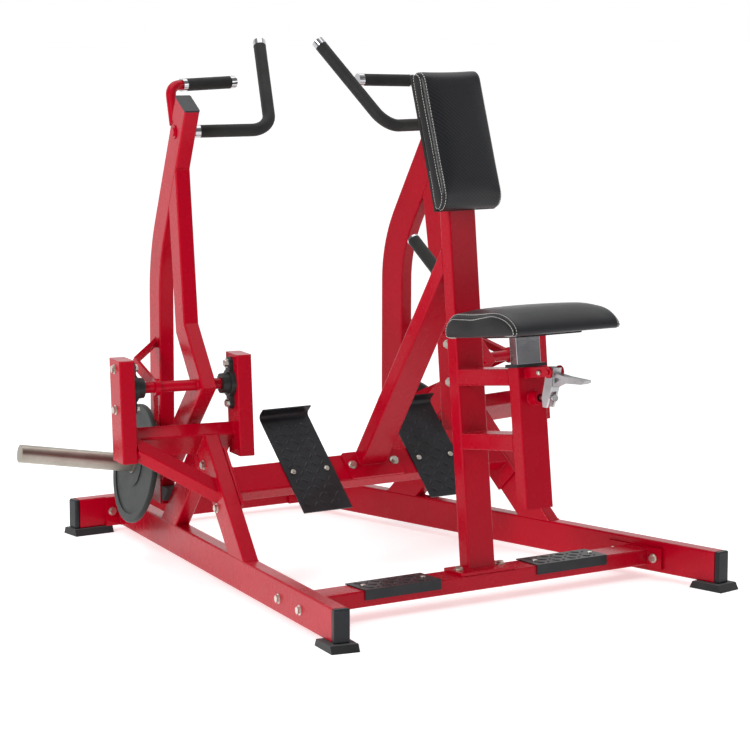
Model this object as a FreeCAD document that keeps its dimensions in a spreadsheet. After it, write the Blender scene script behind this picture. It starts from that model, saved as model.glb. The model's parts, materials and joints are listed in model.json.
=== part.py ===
import FreeCAD, Part
import math
import os
import Sketcher

# Plate-loaded seated row with two independent arms. All lengths are in mm and all angles in
# degrees. X runs across the machine, Y runs away from the user's back and Z is up. The sheet's
# Y values are measured from the arm pivots; FRAME_SHIFT moves the whole machine to its origin,
# which is the middle of the bounding box on the floor.

DOC = FreeCAD.newDocument("IsoRow")
SHEET = DOC.addObject("Spreadsheet::Sheet", "Sizes")

SIZES = {
    # stock and fastening
    "tube_deep": 86.0, "tube_thin": 43.0, "wall_thick": 3.0, "edge_round": 5.0,
    "flange_thick": 8.0, "frame_shift": 164.0,
    # splayed side frames: half spacing at the pivots and splay of each rail
    "hub_half": 446.0, "splay": 10.37,
    "rail_low": 19.0, "rail_near": -900.0, "far_bar_near": 700.0, "far_bar_half": 470.0,
    "cap_thick": 15.0, "near_bar_far": -587.0, "near_bar_low": 37.0,
    "tread_near": 156.0, "tread_far": 392.0, "tread_thick": 3.0,
    # seat side of the frame
    "post_foot": -643.0, "post_lean": 6.13, "post_plate_fore": -631.0, "post_bolt_out": 67.0,
    "seat_lean": 7.0, "seat_post_fore": -801.0, "seat_post_top": 638.0, "seat_post_low": 280.0,
    "rung_one": 609.0, "rung_two": 443.0, "seat_tube_wide": 75.0, "seat_tube_thin": 32.0,
    "seat_wide": 345.0, "seat_long": 300.0, "seat_deep": 68.0, "seat_front": -699.0,
    "seat_bottom": 710.0, "board_thick": 5.0, "board_inset": 66.0, "seat_hole_pitch": 30.0,
    "pad_wide": 200.0, "pad_long": 374.0, "pad_deep": 50.0, "pad_lean": 18.3,
    "pad_back_fore": -553.0, "pad_back_low": 1014.0,
    # foot bar and brace
    "foot_axis_fore": -116.0, "foot_axis_high": 273.5, "brace_lean": 33.9,
    "brace_foot_fore": -107.0, "brace_foot_high": 321.0,
    "foot_plate_in": 131.0, "foot_plate_out": 286.0, "foot_plate_low": 137.0,
    "foot_plate_high": 190.0, "foot_plate_thick": 4.0, "foot_lip": 34.0, "foot_lip_round": 16.0,
    "brace_plate_thick": 5.6, "grab_along": 622.3, "grab_long": 159.0, "grab_dia": 25.0,
    "leg_flange_fore": -87.8, "leg_flange_high": 267.6, "near_flange_fore": -630.0,
    # stands
    "pivot_high": 531.5, "stand_out_in": 222.0, "stand_in_out": -67.0,
    "stand_lean": 5.0, "stand_low": 338.0, "stand_high": 611.0,
    "cross_axis_fore": 25.0, "cross_axis_high": 380.4, "rear_leg_fore": 13.7,
    "rear_leg_high": 308.3, "strut_top_fore": -34.0, "strut_top_high": 374.0,
    "strut_foot_fore": -104.0, "strut_foot_high": 258.0, "bumper_low": 165.0,
    "bumper_high": 205.0, "bearing_spread": 54.3, "bearing_long": 34.0, "leg_bolt_fore": -16.3,
    "leg_bolt_high": 313.5, "leg_low_bolt_fore": -117.0, "leg_low_bolt_high": 213.0,
    # arms
    "arm_side": 15.0, "arm_fore": 335.0, "arm_low": 154.0, "arm_bend_high": 838.0, "arm_lean": 27.0,
    "arm_upper_long": 494.0, "arm_bend_round": 420.0, "arm_brace_deep": 72.0,
    "brace_knee_fore": 126.4, "brace_knee_high": 670.0, "brace_top_fore": 187.0,
    "brace_top_high": 1090.0, "brace_drop": 42.1,
    "shaft_dia": 25.0, "sleeve_dia": 30.0, "horn_dia": 50.0, "horn_high": 258.0, "horn_tilt": 8.5,
    "horn_long": 400.0, "horn_collar_dia": 55.0, "horn_collar_long": 72.0, "horn_foot_dia": 78.0,
    "horn_foot_thick": 8.0, "disc_dia": 336.0, "disc_thick": 16.0, "disc_gap": 52.0,
    "disc_recess": 4.0,
    # outrigger from the pivot sleeve to the arm's outer face
    "stay_out": 150.0, "stay_wide": 24.0, "stay_thick": 12.0, "stay_apex_fore": 177.0,
    "stay_apex_high": 578.0, "stay_top_fore": 350.0, "stay_top_high": 612.0,
    "stay_end_out": 20.0, "stay_low_fore": 364.0, "stay_low_high": 348.0, "sleeve_end": 186.0,
    # handles: the points of each bent tube
    "handle_dia": 28.0, "handle_wall": 3.0, "grip_dia": 35.0, "handle_round": 60.0,
    "ferrule_dia": 36.0, "ferrule_long": 14.0, "handle_cap": 18.0, "grip_start": 70.0,
    "low_root_fore": 157.0, "low_root_high": 1203.0, "low_turn_out": 193.0,
    "low_turn_fore": 86.0, "low_turn_high": 1206.0, "low_tip_out": 98.0, "low_tip_fore": 297.0,
    "low_tip_high": 1440.0, "boss_dia": 38.0, "boss_thick": 4.0,
    "up_root_out": 12.0, "up_root_fore": 182.0, "up_root_high": 1222.0, "up_turn_out": 426.0,
    "up_turn_fore": 232.0, "up_turn_high": 1325.0, "up_tip_out": 207.0, "up_tip_fore": 256.0,
    "up_tip_high": 1331.0, "up_round": 36.0,
    # latch
    "latch_fore": -937.0, "latch_high": 641.0, "plunger_high": 559.0, "plunger_dia": 12.0,
    "plunger_head": 85.5, "cheek_out": 18.0, "cheek_thick": 5.0,
    # fasteners
    "bolt_head_dia": 20.0, "bolt_head_high": 7.0, "washer_dia": 26.0, "washer_thick": 2.0,
}

for row, (alias, number) in enumerate(SIZES.items(), start=1):
    SHEET.set(f"A{row}", alias)
    SHEET.set(f"B{row}", str(number))
    SHEET.setAlias(f"B{row}", alias)
DOC.recompute()


class Size:
    """A length or an angle: its value and the sheet expression that it comes from."""

    def __init__(self, value, text):
        self.value = float(value)
        self.text = text

    def __add__(self, other):
        other = as_size(other)
        return Size(self.value + other.value, f"({self.text} + {other.text})")

    def __sub__(self, other):
        other = as_size(other)
        return Size(self.value - other.value, f"({self.text} - {other.text})")

    def __mul__(self, other):
        other = as_size(other)
        return Size(self.value * other.value, f"({self.text} * {other.text})")

    def __truediv__(self, other):
        other = as_size(other)
        return Size(self.value / other.value, f"({self.text} / {other.text})")

    def __neg__(self):
        return Size(-self.value, f"(0 - {self.text})")

    __radd__ = __add__
    __rmul__ = __mul__

    def __rsub__(self, other):
        return as_size(other) - self


def as_size(number):
    return number if isinstance(number, Size) else Size(number, f"({float(number)!r})")


def cell(alias):
    return Size(SIZES[alias], f"Sizes.{alias}")


def sine(angle):
    angle = as_size(angle)
    return Size(math.sin(math.radians(angle.value)), f"sin({angle.text})")


def cosine(angle):
    angle = as_size(angle)
    return Size(math.cos(math.radians(angle.value)), f"cos({angle.text})")


def tangent(angle):
    return sine(angle) / cosine(angle)


DEEP = cell("tube_deep")
THIN = cell("tube_thin")
WALL = cell("wall_thick")
ROUND = cell("edge_round")
FLANGE = cell("flange_thick")
SHIFT = cell("frame_shift")
SPLAY = cell("splay")
HUB = cell("hub_half")
ARM_X = cell("arm_side")
SIDES = {"left": -1, "right": 1}

X_AXIS = FreeCAD.Vector(1, 0, 0)
Z_AXIS = FreeCAD.Vector(0, 0, 1)


# ---------------------------------------------------------------- placing

def value(number):
    return number.value if isinstance(number, Size) else float(number)


def turned(x, y, z, axis=X_AXIS, angle=0.0):
    """Placement at a point, turned about an axis through that point."""
    return FreeCAD.Placement(
        FreeCAD.Vector(value(x), value(y), value(z)), FreeCAD.Rotation(axis, value(angle)))


def centre_frame(x=0.0, y=0.0, z=0.0, axis=X_AXIS, angle=0.0):
    """A point of the machine's middle frame, whose Y is measured from the pivots."""
    return turned(0, SHIFT, 0) * turned(x, y, z, axis, angle)


def side_frame(side, x=0.0, y=0.0, z=0.0, axis=X_AXIS, angle=0.0):
    """A point of a splayed side frame: x outward from the hub, y forward along the rail."""
    hub = turned(side * HUB.value, SHIFT, 0, Z_AXIS, side * SPLAY.value)
    return hub * turned(side * value(x), y, z, axis, angle)


# ---------------------------------------------------------------- solids

def bind(thing, prop, number):
    number = as_size(number)
    thing.setExpression(prop, number.text)


def origin_plane(body, role):
    for feature in body.Origin.OriginFeatures:
        if feature.Role == role:
            return feature
    raise ValueError(role)


def new_sketch(body, role, name):
    sketch = body.newObject("Sketcher::SketchObject", name)
    sketch.AttachmentSupport = [(origin_plane(body, role), "")]
    sketch.MapMode = "FlatFace"
    return sketch


def draw_outline(sketch, corners):
    """Closed outline of straight edges, each corner bound to the sheet."""
    points = [FreeCAD.Vector(value(a), value(b), 0) for a, b in corners]
    count = len(points)
    for index, point in enumerate(points):
        sketch.addGeometry(Part.LineSegment(point, points[(index + 1) % count]))
    for index in range(count):
        sketch.addConstraint(Sketcher.Constraint("Coincident", index, 2, (index + 1) % count, 1))
    for index, corner in enumerate(corners):
        for kind, number in zip(("DistanceX", "DistanceY"), corner):
            number = as_size(number)
            row = sketch.addConstraint(Sketcher.Constraint(kind, -1, 1, index, 1, number.value))
            sketch.setExpression(f"Constraints[{row}]", number.text)


def pad(body, sketch, length):
    feature = body.newObject("PartDesign::Pad", "Pad")
    feature.Profile = sketch
    feature.SideType = "Symmetric"
    bind(feature, "Length", length)
    return feature


def pocket(body, sketch, length):
    feature = body.newObject("PartDesign::Pocket", "Pocket")
    feature.Profile = sketch
    feature.SideType = "Symmetric"
    bind(feature, "Length", length)
    return feature


def prism(label, role, corners, width, placement):
    """Straight-edged outline on an origin plane, padded evenly to both sides of it."""
    body = DOC.addObject("PartDesign::Body", label)
    body.Label = label
    sketch = new_sketch(body, role, "Outline")
    draw_outline(sketch, corners)
    pad(body, sketch, width)
    body.Placement = placement
    return body


def along(point, target, share):
    return (point[0] + (target[0] - point[0]) * share, point[1] + (target[1] - point[1]) * share)


def tube(label, role, corners, depth, width, placement, wall=WALL, rounding=ROUND):
    """Hollow rectangular tube. Corners 0-1 and 3-2 are its long edges, `depth` apart."""
    body = prism(label, role, corners, width, placement)
    DOC.recompute()
    outline = [(value(a), value(b)) for a, b in corners]
    runs = ((outline[0], outline[1]), (outline[3], outline[2]))
    half = value(width) / 2
    names = []
    for index, edge in enumerate(body.Tip.Shape.Edges):
        ends = [flat_point(vertex.Point, role) for vertex in edge.Vertexes]
        if len(ends) != 2 or any(abs(abs(end[2]) - half) > 0.01 for end in ends):
            continue
        if ends[0][2] * ends[1][2] < 0:
            continue
        for run in runs:
            if all(min(math.dist(end[:2], corner) for corner in run) < 0.01 for end in ends):
                names.append(f"Edge{index + 1}")
    fillet = body.newObject("PartDesign::Fillet", "Rounding")
    fillet.Base = (body.Group[-2], names)
    bind(fillet, "Radius", rounding)
    share = as_size(wall) / depth
    inner = [along(corners[0], corners[3], share), along(corners[1], corners[2], share),
             along(corners[2], corners[1], share), along(corners[3], corners[0], share)]
    sketch = new_sketch(body, role, "Bore")
    draw_outline(sketch, inner)
    pocket(body, sketch, as_size(width) - as_size(wall) * 2)
    return body


def flat_point(point, role):
    """A point as (across, up, out) of an origin plane's sketch."""
    if role == "YZ_Plane":
        return (point.y, point.z, point.x)
    if role == "XY_Plane":
        return (point.x, point.y, point.z)
    return (point.x, point.z, -point.y)


def block(label, size, placement):
    """Plain box, centred on its placement."""
    box = DOC.addObject("Part::Box", label)
    box.Label = label
    for prop, number in zip(("Length", "Width", "Height"), size):
        bind(box, prop, number)
    half = FreeCAD.Vector(*[value(number) / 2 for number in size])
    box.Placement = placement * FreeCAD.Placement(-half, FreeCAD.Rotation())
    return box


def rod(label, diameter, length, placement):
    """Round bar that starts at its placement and runs along local Z."""
    bar = DOC.addObject("Part::Cylinder", label)
    bar.Label = label
    bind(bar, "Radius", as_size(diameter) / 2)
    bind(bar, "Height", length)
    bar.Placement = placement
    return bar


def ring(label, outer, inner, length, placement):
    """Round sleeve: an outer bar less an inner one."""
    return minus(label, rod(f"{label}_outer", outer, length, placement),
                 [rod(f"{label}_inner", inner, as_size(length) + 2,
                      placement * turned(0, 0, -1))])


def minus(label, base, tools):
    for number, tool in enumerate(tools):
        cut = DOC.addObject("Part::Cut", f"{label}_cut{number}")
        cut.Base = base
        cut.Tool = tool
        base = cut
    base.Label = label
    return base


def union(label, things):
    fuse = DOC.addObject("Part::MultiFuse", label)
    fuse.Shapes = things
    fuse.Label = label
    return fuse


def group(label, things):
    """One node of several separate pieces."""
    compound = DOC.addObject("Part::Compound", label)
    compound.Links = things
    compound.Label = label
    return compound


def round_box(label, size, radius, placement):
    """Box whose edges are all rounded."""
    base = block(f"{label}_block", size, placement)
    DOC.recompute()
    fillet = DOC.addObject("Part::Fillet", label)
    fillet.Base = base
    radius = value(radius)
    fillet.Edges = [(index + 1, radius, radius) for index in range(len(base.Shape.Edges))]
    fillet.Label = label
    return fillet


def aim(start, end, up=Z_AXIS):
    """Placement at `start` whose local Z points at `end` and whose Y stays near `up`."""
    start = FreeCAD.Vector(*start)
    direction = FreeCAD.Vector(*end) - start
    rotation = FreeCAD.Rotation(up.cross(direction), up, direction, "ZXY")
    return FreeCAD.Placement(start, rotation)


def bent_bar(label, first, turn, bend, second, outer, inner, placement, start=0.0):
    """Round tube: a straight run along local X, a bend towards local Y and a second run."""
    body = DOC.addObject("PartDesign::Body", label)
    body.Label = label
    path = new_sketch(body, "XY_Plane", "Path")
    first = as_size(first)
    turn = as_size(turn)
    bend = as_size(bend)
    second = as_size(second)
    knee = first + bend * sine(turn)
    rise = bend - bend * cosine(turn)
    tip = (knee + second * cosine(turn), rise + second * sine(turn))
    points = [(as_size(start), as_size(0)), (first, as_size(0)), (knee, rise), tip]
    vectors = [FreeCAD.Vector(a.value, b.value, 0) for a, b in points]
    half_turn = math.radians(turn.value / 2)
    middle = FreeCAD.Vector(
        first.value + bend.value * math.sin(half_turn),
        bend.value - bend.value * math.cos(half_turn), 0)
    path.addGeometry(Part.LineSegment(vectors[0], vectors[1]))
    path.addGeometry(Part.Arc(vectors[1], middle, vectors[2]))
    path.addGeometry(Part.LineSegment(vectors[2], vectors[3]))
    path.addConstraint(Sketcher.Constraint("Coincident", 0, 2, 1, 1))
    path.addConstraint(Sketcher.Constraint("Coincident", 1, 2, 2, 1))
    for line, place, point in ((0, 1, points[0]), (0, 2, points[1]), (2, 1, points[2]),
                               (2, 2, points[3])):
        for kind, number in zip(("DistanceX", "DistanceY"), point):
            row = path.addConstraint(Sketcher.Constraint(kind, -1, 1, line, place, number.value))
            path.setExpression(f"Constraints[{row}]", number.text)
    row = path.addConstraint(Sketcher.Constraint("Radius", 1, bend.value))
    path.setExpression(f"Constraints[{row}]", bend.text)
    profile = new_sketch(body, "YZ_Plane", "Profile")
    profile.AttachmentOffset = turned(0, 0, start)
    for diameter in (outer, inner):
        if diameter is None:
            continue
        diameter = as_size(diameter)
        circle = profile.addGeometry(
            Part.Circle(FreeCAD.Vector(0, 0, 0), Z_AXIS, diameter.value / 2))
        profile.addConstraint(Sketcher.Constraint("Coincident", circle, 3, -1, 1))
        row = profile.addConstraint(Sketcher.Constraint("Diameter", circle, diameter.value))
        profile.setExpression(f"Constraints[{row}]", diameter.text)
    pipe = body.newObject("PartDesign::AdditivePipe", "Pipe")
    pipe.Profile = profile
    pipe.Spine = path
    body.Placement = placement
    return body


def edge_names(shape, wanted):
    """Names of the edges whose two end points both pass the test."""
    names = []
    for index, edge in enumerate(shape.Edges):
        if len(edge.Vertexes) == 2 and all(wanted(vertex.Point) for vertex in edge.Vertexes):
            names.append(f"Edge{index + 1}")
    return names


def fillet_body(body, wanted, radius):
    """Rounds the chosen edges of a body's last feature."""
    DOC.recompute()
    base = body.Tip
    fillet = body.newObject("PartDesign::Fillet", "Rounding")
    fillet.Base = (base, edge_names(base.Shape, wanted))
    bind(fillet, "Radius", radius)


def bar(label, wide, deep, length, placement, wall=WALL, rounding=ROUND):
    """Rectangular tube centred on its placement: length on X, `wide` on Y and `deep` on Z."""
    half_wide = as_size(wide) / 2
    half_deep = as_size(deep) / 2
    outer = [(-half_wide, -half_deep), (half_wide, -half_deep),
             (half_wide, half_deep), (-half_wide, half_deep)]
    body = prism(label, "YZ_Plane", outer, length, placement)
    DOC.recompute()
    names = [f"Edge{index + 1}" for index, edge in enumerate(body.Tip.Shape.Edges)
             if abs(edge.Vertexes[0].Point.x - edge.Vertexes[1].Point.x) > 0.01]
    fillet = body.newObject("PartDesign::Fillet", "Rounding")
    fillet.Base = (body.Group[-2], names)
    bind(fillet, "Radius", rounding)
    if wall is not None:
        inner_wide = half_wide - wall
        inner_deep = half_deep - wall
        sketch = new_sketch(body, "YZ_Plane", "Bore")
        draw_outline(sketch, [(-inner_wide, -inner_deep), (inner_wide, -inner_deep),
                              (inner_wide, inner_deep), (-inner_wide, inner_deep)])
        pocket(body, sketch, as_size(length) + 2)
    return body


def plate(label, size, radius, placement):
    """Flat plate centred on its placement, with its four corners rounded about local Z."""
    base = block(f"{label}_blank", size, placement)
    DOC.recompute()
    inverse = placement.inverse()
    edges = []
    for index, edge in enumerate(base.Shape.Edges):
        low, high = [inverse.multVec(vertex.Point) for vertex in edge.Vertexes]
        if abs(low.z - high.z) > 0.01:
            edges.append((index + 1, float(radius), float(radius)))
    fillet = DOC.addObject("Part::Fillet", label)
    fillet.Base = base
    fillet.Edges = edges
    fillet.Label = label
    return fillet


def hex_bolt(label, placement):
    """Bolt head on its washer; local Z points away from the clamped face."""
    washer = rod(f"{label}_washer", cell("washer_dia"), cell("washer_thick"), placement)
    head = DOC.addObject("Part::Prism", f"{label}_head")
    head.Polygon = 6
    bind(head, "Circumradius", cell("bolt_head_dia") / 2)
    bind(head, "Height", cell("bolt_head_high"))
    head.Placement = placement * turned(0, 0, SIZES["washer_thick"])
    return union(label, [washer, head])


def button_screw(label, diameter, height, placement):
    """Low round screw head."""
    head = rod(f"{label}_head", diameter, height, placement)
    DOC.recompute()
    fillet = DOC.addObject("Part::Fillet", label)
    fillet.Base = head
    top = max(range(len(head.Shape.Edges)),
              key=lambda index: placement.inverse().multVec(
                  head.Shape.Edges[index].CenterOfMass).z)
    fillet.Edges = [(top + 1, value(height) * 0.6, value(height) * 0.6)]
    return fillet


def meet(point, direction, other, other_direction):
    """Crossing of two lines given by points and direction angles from +Y towards +Z."""
    run = (cosine(direction), sine(direction))
    other_run = (cosine(other_direction), sine(other_direction))
    gap = (other[0] - point[0], other[1] - point[1])
    reach = ((gap[0] * other_run[1] - gap[1] * other_run[0])
             / (run[0] * other_run[1] - run[1] * other_run[0]))
    return (point[0] + run[0] * reach, point[1] + run[1] * reach)


def shifted(point, direction, distance_along):
    return (point[0] + cosine(direction) * distance_along,
            point[1] + sine(direction) * distance_along)


def facing(side, outward=True):
    """Turn that points local Z along the side frame's outward (or inward) x."""
    sign = side if outward else -side
    return turned(0, 0, 0, FreeCAD.Vector(0, 1, 0), 90 * sign)


# ---------------------------------------------------------------- base frame

RAIL_MID = cell("rail_low") + DEEP / 2
FAR_FACE = cell("far_bar_near")


def inner_rail_x(y, inset):
    """X of a line parallel to a rail, `inset` inside its centre, at a middle-frame Y."""
    return HUB - as_size(inset) / cosine(SPLAY) - as_size(y) * tangent(SPLAY)


def build_rails():
    for name, side in SIDES.items():
        corners = []
        for across in (THIN / 2, -(THIN / 2)):
            far = (FAR_FACE - FLANGE - across * sine(SPLAY)) / cosine(SPLAY)
            corners.append(((across * side, cell("rail_near")), (across * side, far)))
        outline = [corners[0][0], corners[0][1], corners[1][1], corners[1][0]]
        tube(f"{name}_rail", "XY_Plane", outline, THIN, DEEP, side_frame(side, 0, 0, RAIL_MID))


def build_crossbars():
    half = cell("far_bar_half")
    far = FAR_FACE + THIN
    tube("far_crossbar", "XY_Plane", [(-half, FAR_FACE), (half, FAR_FACE), (half, far), (-half, far)],
         THIN, DEEP, centre_frame(0, 0, RAIL_MID))
    back = cell("near_bar_far")
    front = back - DEEP
    inset = THIN / 2 + FLANGE
    wide_front = inner_rail_x(front, inset)
    wide_back = inner_rail_x(back, inset)
    tube("near_crossbar", "XY_Plane",
         [(-wide_front, front), (wide_front, front), (wide_back, back), (-wide_back, back)],
         DEEP, THIN, centre_frame(0, 0, cell("near_bar_low") + THIN / 2))


def build_flanges():
    """Bolted end plates: rail to far crossbar, near crossbar to rail, foot bar to near leg."""
    plates = []
    for name, side in SIDES.items():
        y = FAR_FACE - FLANGE / 2
        plates.append(block(f"{name}_far_flange", (136, FLANGE, DEEP),
                            centre_frame(inner_rail_x(y, 0) * side, y, RAIL_MID)))
        inset = -(THIN + FLANGE).value / 2
        plates.append(block(f"{name}_near_flange", (FLANGE, 190, 56),
                            side_frame(side, inset, cell("near_flange_fore"),
                                       cell("near_bar_low") + THIN / 2)))
        plates.append(block(f"{name}_foot_flange", (FLANGE, DEEP, 190),
                            side_frame(side, inset, cell("leg_flange_fore"),
                                       cell("leg_flange_high"), X_AXIS, -45)))
    group("frame_flanges", plates)


def build_caps_and_feet():
    caps = []
    feet = []
    depth = cell("cap_thick")
    for name, side in SIDES.items():
        caps.append(round_box(f"{name}_rail_cap", (THIN, depth, DEEP), 4,
                              side_frame(side, 0, cell("rail_near") - depth / 2, RAIL_MID)))
        caps.append(round_box(f"{name}_bar_cap", (depth, THIN, DEEP), 6,
                              centre_frame((cell("far_bar_half") + depth / 2) * side,
                                           FAR_FACE + THIN / 2, RAIL_MID)))
        low = cell("rail_low")
        feet.append(prism(f"{name}_near_foot", "YZ_Plane",
                          [(-54, 0), (54, 0), (44, low), (-44, low)], 75,
                          side_frame(side, 0, -884)))
        feet.append(prism(f"{name}_far_foot", "YZ_Plane",
                          [(-38, 0), (38, 0), (30, low), (-30, low)], 125,
                          centre_frame(side * 430, FAR_FACE + THIN / 2)))
    group("tube_end_caps", caps)
    group("rubber_feet", feet)


def build_treads():
    """Angle-plate treads over the near crossbar."""
    top = cell("near_bar_low") + THIN
    front = cell("near_bar_far") - DEEP - 1
    back = cell("near_bar_far") + 4
    thick = cell("tread_thick")
    outline = [(front - thick, 56), (front, 56), (front, top), (back, top),
               (back, top + thick), (front - thick, top + thick)]
    wide = cell("tread_far") - cell("tread_near")
    middle = (cell("tread_far") + cell("tread_near")) / 2
    group("tread_pads", [
        prism(f"{name}_tread", "YZ_Plane", outline, wide, centre_frame(middle * side))
        for name, side in SIDES.items()])


# ---------------------------------------------------------------- chest post and seat frame

POST_FOOT_HIGH = cell("near_bar_low") + THIN + FLANGE
POST_SLOPE = tangent(cell("post_lean"))
PAD_SLOPE = tangent(cell("pad_lean"))
SEAT_SLOPE = tangent(cell("seat_lean"))
PAD_PLATE = 6.0
PAD_BOARD = 10.0


def post_near(high):
    """Y of the chest post's user-side face at a height."""
    return cell("post_foot") + (as_size(high) - POST_FOOT_HIGH) * POST_SLOPE


def post_far_point():
    return (cell("post_foot") + THIN / cosine(cell("post_lean")), POST_FOOT_HIGH)


def seat_fore(high):
    """Y of the seat post's far face at a height."""
    return cell("seat_post_fore") + (as_size(high) - 635) * SEAT_SLOPE


def pad_frame(up, out):
    """Middle-frame point of the chest pad: `up` its back face, `out` towards the user."""
    lean = cell("pad_lean")
    origin = (cell("pad_back_fore"), cell("pad_back_low"))
    return (origin[0] + sine(lean) * up - cosine(lean) * out,
            origin[1] + cosine(lean) * up + sine(lean) * out)


def build_chest_post():
    lean = 90 - cell("post_lean")
    cut = pad_frame(0, -PAD_PLATE)
    cut_lean = 90 - cell("pad_lean")
    near = (cell("post_foot"), POST_FOOT_HIGH)
    far = post_far_point()
    outline = [near, meet(near, lean, cut, cut_lean), meet(far, lean, cut, cut_lean), far]
    tube("chest_post", "YZ_Plane", outline, THIN, DEEP, centre_frame())


def build_base_plates():
    """Plates that carry the chest post, the brace and the chest pad."""
    post = plate("post_base_plate", (176, DEEP, FLANGE), 8,
                 centre_frame(0, cell("post_plate_fore"), POST_FOOT_HIGH - FLANGE / 2))
    thick = cell("brace_plate_thick")
    rise = (THIN / 2 + thick / 2) * sine(45)
    brace = plate("brace_base_plate", (176, DEEP, thick), 8, centre_frame(
        0, cell("foot_axis_fore") - rise, cell("foot_axis_high") + rise, X_AXIS, 45))
    y, z = pad_frame(165, -PAD_PLATE / 2)
    carrier = plate("pad_carrier_plate", (130, 230, PAD_PLATE), 10,
                    centre_frame(0, y, z, X_AXIS, 90 - SIZES["pad_lean"]))
    group("base_plates", [post, brace, carrier])


def build_rungs():
    rungs = []
    lean = cell("seat_lean")
    for number, alias in enumerate(("rung_one", "rung_two"), start=1):
        top = (post_near(cell(alias)), cell(alias))
        fore = (cell("seat_post_fore"), as_size(635))
        outer = meet(top, 180 - lean, fore, 90 - lean)
        lower = shifted(outer, 90 - lean, -THIN)
        inner = meet(lower, 180 - lean, top, 90 - cell("post_lean"))
        rungs.append(tube(f"rung_{number}", "YZ_Plane", [top, outer, lower, inner],
                          THIN, DEEP, centre_frame()))
    group("seat_rungs", rungs)


SEAT_TOP_CENTRE = shifted((seat_fore(cell("seat_post_top")), cell("seat_post_top")),
                          180 - cell("seat_lean"), THIN / 2)


def seat_frame(y=0.0, z=0.0, x=0.0):
    """Frame on the seat post's axis, from the post's top; local Z runs up the post."""
    base = centre_frame(0, SEAT_TOP_CENTRE[0], SEAT_TOP_CENTRE[1], X_AXIS, -SIZES["seat_lean"])
    return base * turned(x, y, z)


def seat_front_local():
    """Front lower edge of the cushion, along and up the seat frame."""
    gap = (cell("seat_front") - SEAT_TOP_CENTRE[0], cell("seat_bottom") - SEAT_TOP_CENTRE[1])
    lean = cell("seat_lean")
    return (gap[0] * cosine(lean) - gap[1] * sine(lean), gap[0] * sine(lean) + gap[1] * cosine(lean))


def build_seat():
    lean = cell("seat_lean")
    fore_top = (seat_fore(cell("seat_post_top")), cell("seat_post_top"))
    fore_low = (seat_fore(cell("seat_post_low")), cell("seat_post_low"))
    outline = [fore_low, fore_top, shifted(fore_top, 180 - lean, THIN),
               shifted(fore_low, 180 - lean, THIN)]
    post = tube("seat_post_tube", "YZ_Plane", outline, THIN, DEEP, centre_frame())
    minus("seat_outer_post", post, [rod("plunger_hole", 13, 40, plunger_frame(-20))])
    collar = block("bush_collar", (DEEP + 8, THIN + 8, 8), seat_frame(0, 4))
    liner = block("bush_liner", (DEEP - WALL * 2 - 0.4, THIN - WALL * 2 - 0.4, 60), seat_frame(0, -30))
    wide = cell("seat_tube_wide")
    thin = cell("seat_tube_thin")
    bore = block("bush_bore", (wide + 0.8, thin + 0.8, 80), seat_frame(0, -22))
    minus("seat_bush", union("bush_body", [collar, liner]), [bore])
    front, under = seat_front_local()
    board = cell("board_thick")
    top = under - board
    low = as_size(-200)
    half = thin / 2
    stem = tube("seat_stem", "YZ_Plane", [(-half, low), (-half, top), (half, top), (half, low)],
                thin, wide, seat_frame(), rounding=3)
    holes = [rod(f"seat_hole_{number}", 13, 20,
                 plunger_frame(-22, cell("seat_hole_pitch") * number)) for number in range(-3, 1)]
    minus("seat_tube", stem, holes)
    middle = front - cell("seat_long") / 2
    inset = cell("board_inset") * 2
    plate("seat_board", (cell("seat_wide") - inset, cell("seat_long") - inset, board), 30,
          seat_frame(middle, under - board / 2))
    deep = cell("seat_deep")
    round_box("seat_cushion", (cell("seat_wide"), cell("seat_long"), deep), 22,
              seat_frame(middle, under + deep / 2))


def build_chest_pad():
    wide = cell("pad_wide")
    tall = cell("pad_long")
    tilt = -SIZES["pad_lean"]
    y, z = pad_frame(tall / 2, PAD_BOARD / 2)
    block("chest_pad_board", (wide - 10, PAD_BOARD, tall - 10), centre_frame(0, y, z, X_AXIS, tilt))
    y, z = pad_frame(tall / 2, PAD_BOARD + cell("pad_deep") / 2)
    round_box("chest_pad_cushion", (wide, cell("pad_deep"), tall), 12,
              centre_frame(0, y, z, X_AXIS, tilt))


# ---------------------------------------------------------------- foot bar and brace

def side_trim(label, side, x, outward):
    """Large block beyond a plane x of a side frame, used to trim tube ends."""
    reach = 200 if outward else -200
    return block(label, (400, 900, 900), side_frame(side, value(x) + reach, 0, 400))


def build_foot_bar():
    inset = -(THIN / 2 + FLANGE)
    long_bar = bar("foot_bar_tube", THIN, DEEP, 920, centre_frame(
        0, cell("foot_axis_fore"), cell("foot_axis_high"), X_AXIS, -45))
    trims = [side_trim(f"{name}_foot_trim", side, inset, True) for name, side in SIDES.items()]
    minus("foot_bar", long_bar, trims)
    plates = []
    wide = cell("foot_plate_out") - cell("foot_plate_in")
    middle = (cell("foot_plate_out") + cell("foot_plate_in")) / 2
    face = -(THIN / 2)
    thick = cell("foot_plate_thick")
    low = thick - cell("foot_plate_low")
    high = thick + cell("foot_plate_high")
    tip = face - cell("foot_lip")
    outline = [(face, low), (face, high), (tip, high), (tip, high - thick),
               (face - thick, high - thick), (face - thick, low)]
    rounding = cell("foot_lip_round")
    for name, side in SIDES.items():
        body = prism(f"{name}_foot_plate", "YZ_Plane", outline, wide, centre_frame(
            middle * side, cell("foot_axis_fore"), cell("foot_axis_high"), X_AXIS, -45))
        for inset, radius in ((as_size(0), rounding), (thick, rounding - thick)):
            corner = (face - inset, high - inset)
            fillet_body(body, lambda p: math.dist(
                (p.y, p.z), (corner[0].value, corner[1].value)) < 0.01, radius)
        plates.append(body)
    group("foot_plates", plates)


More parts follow.
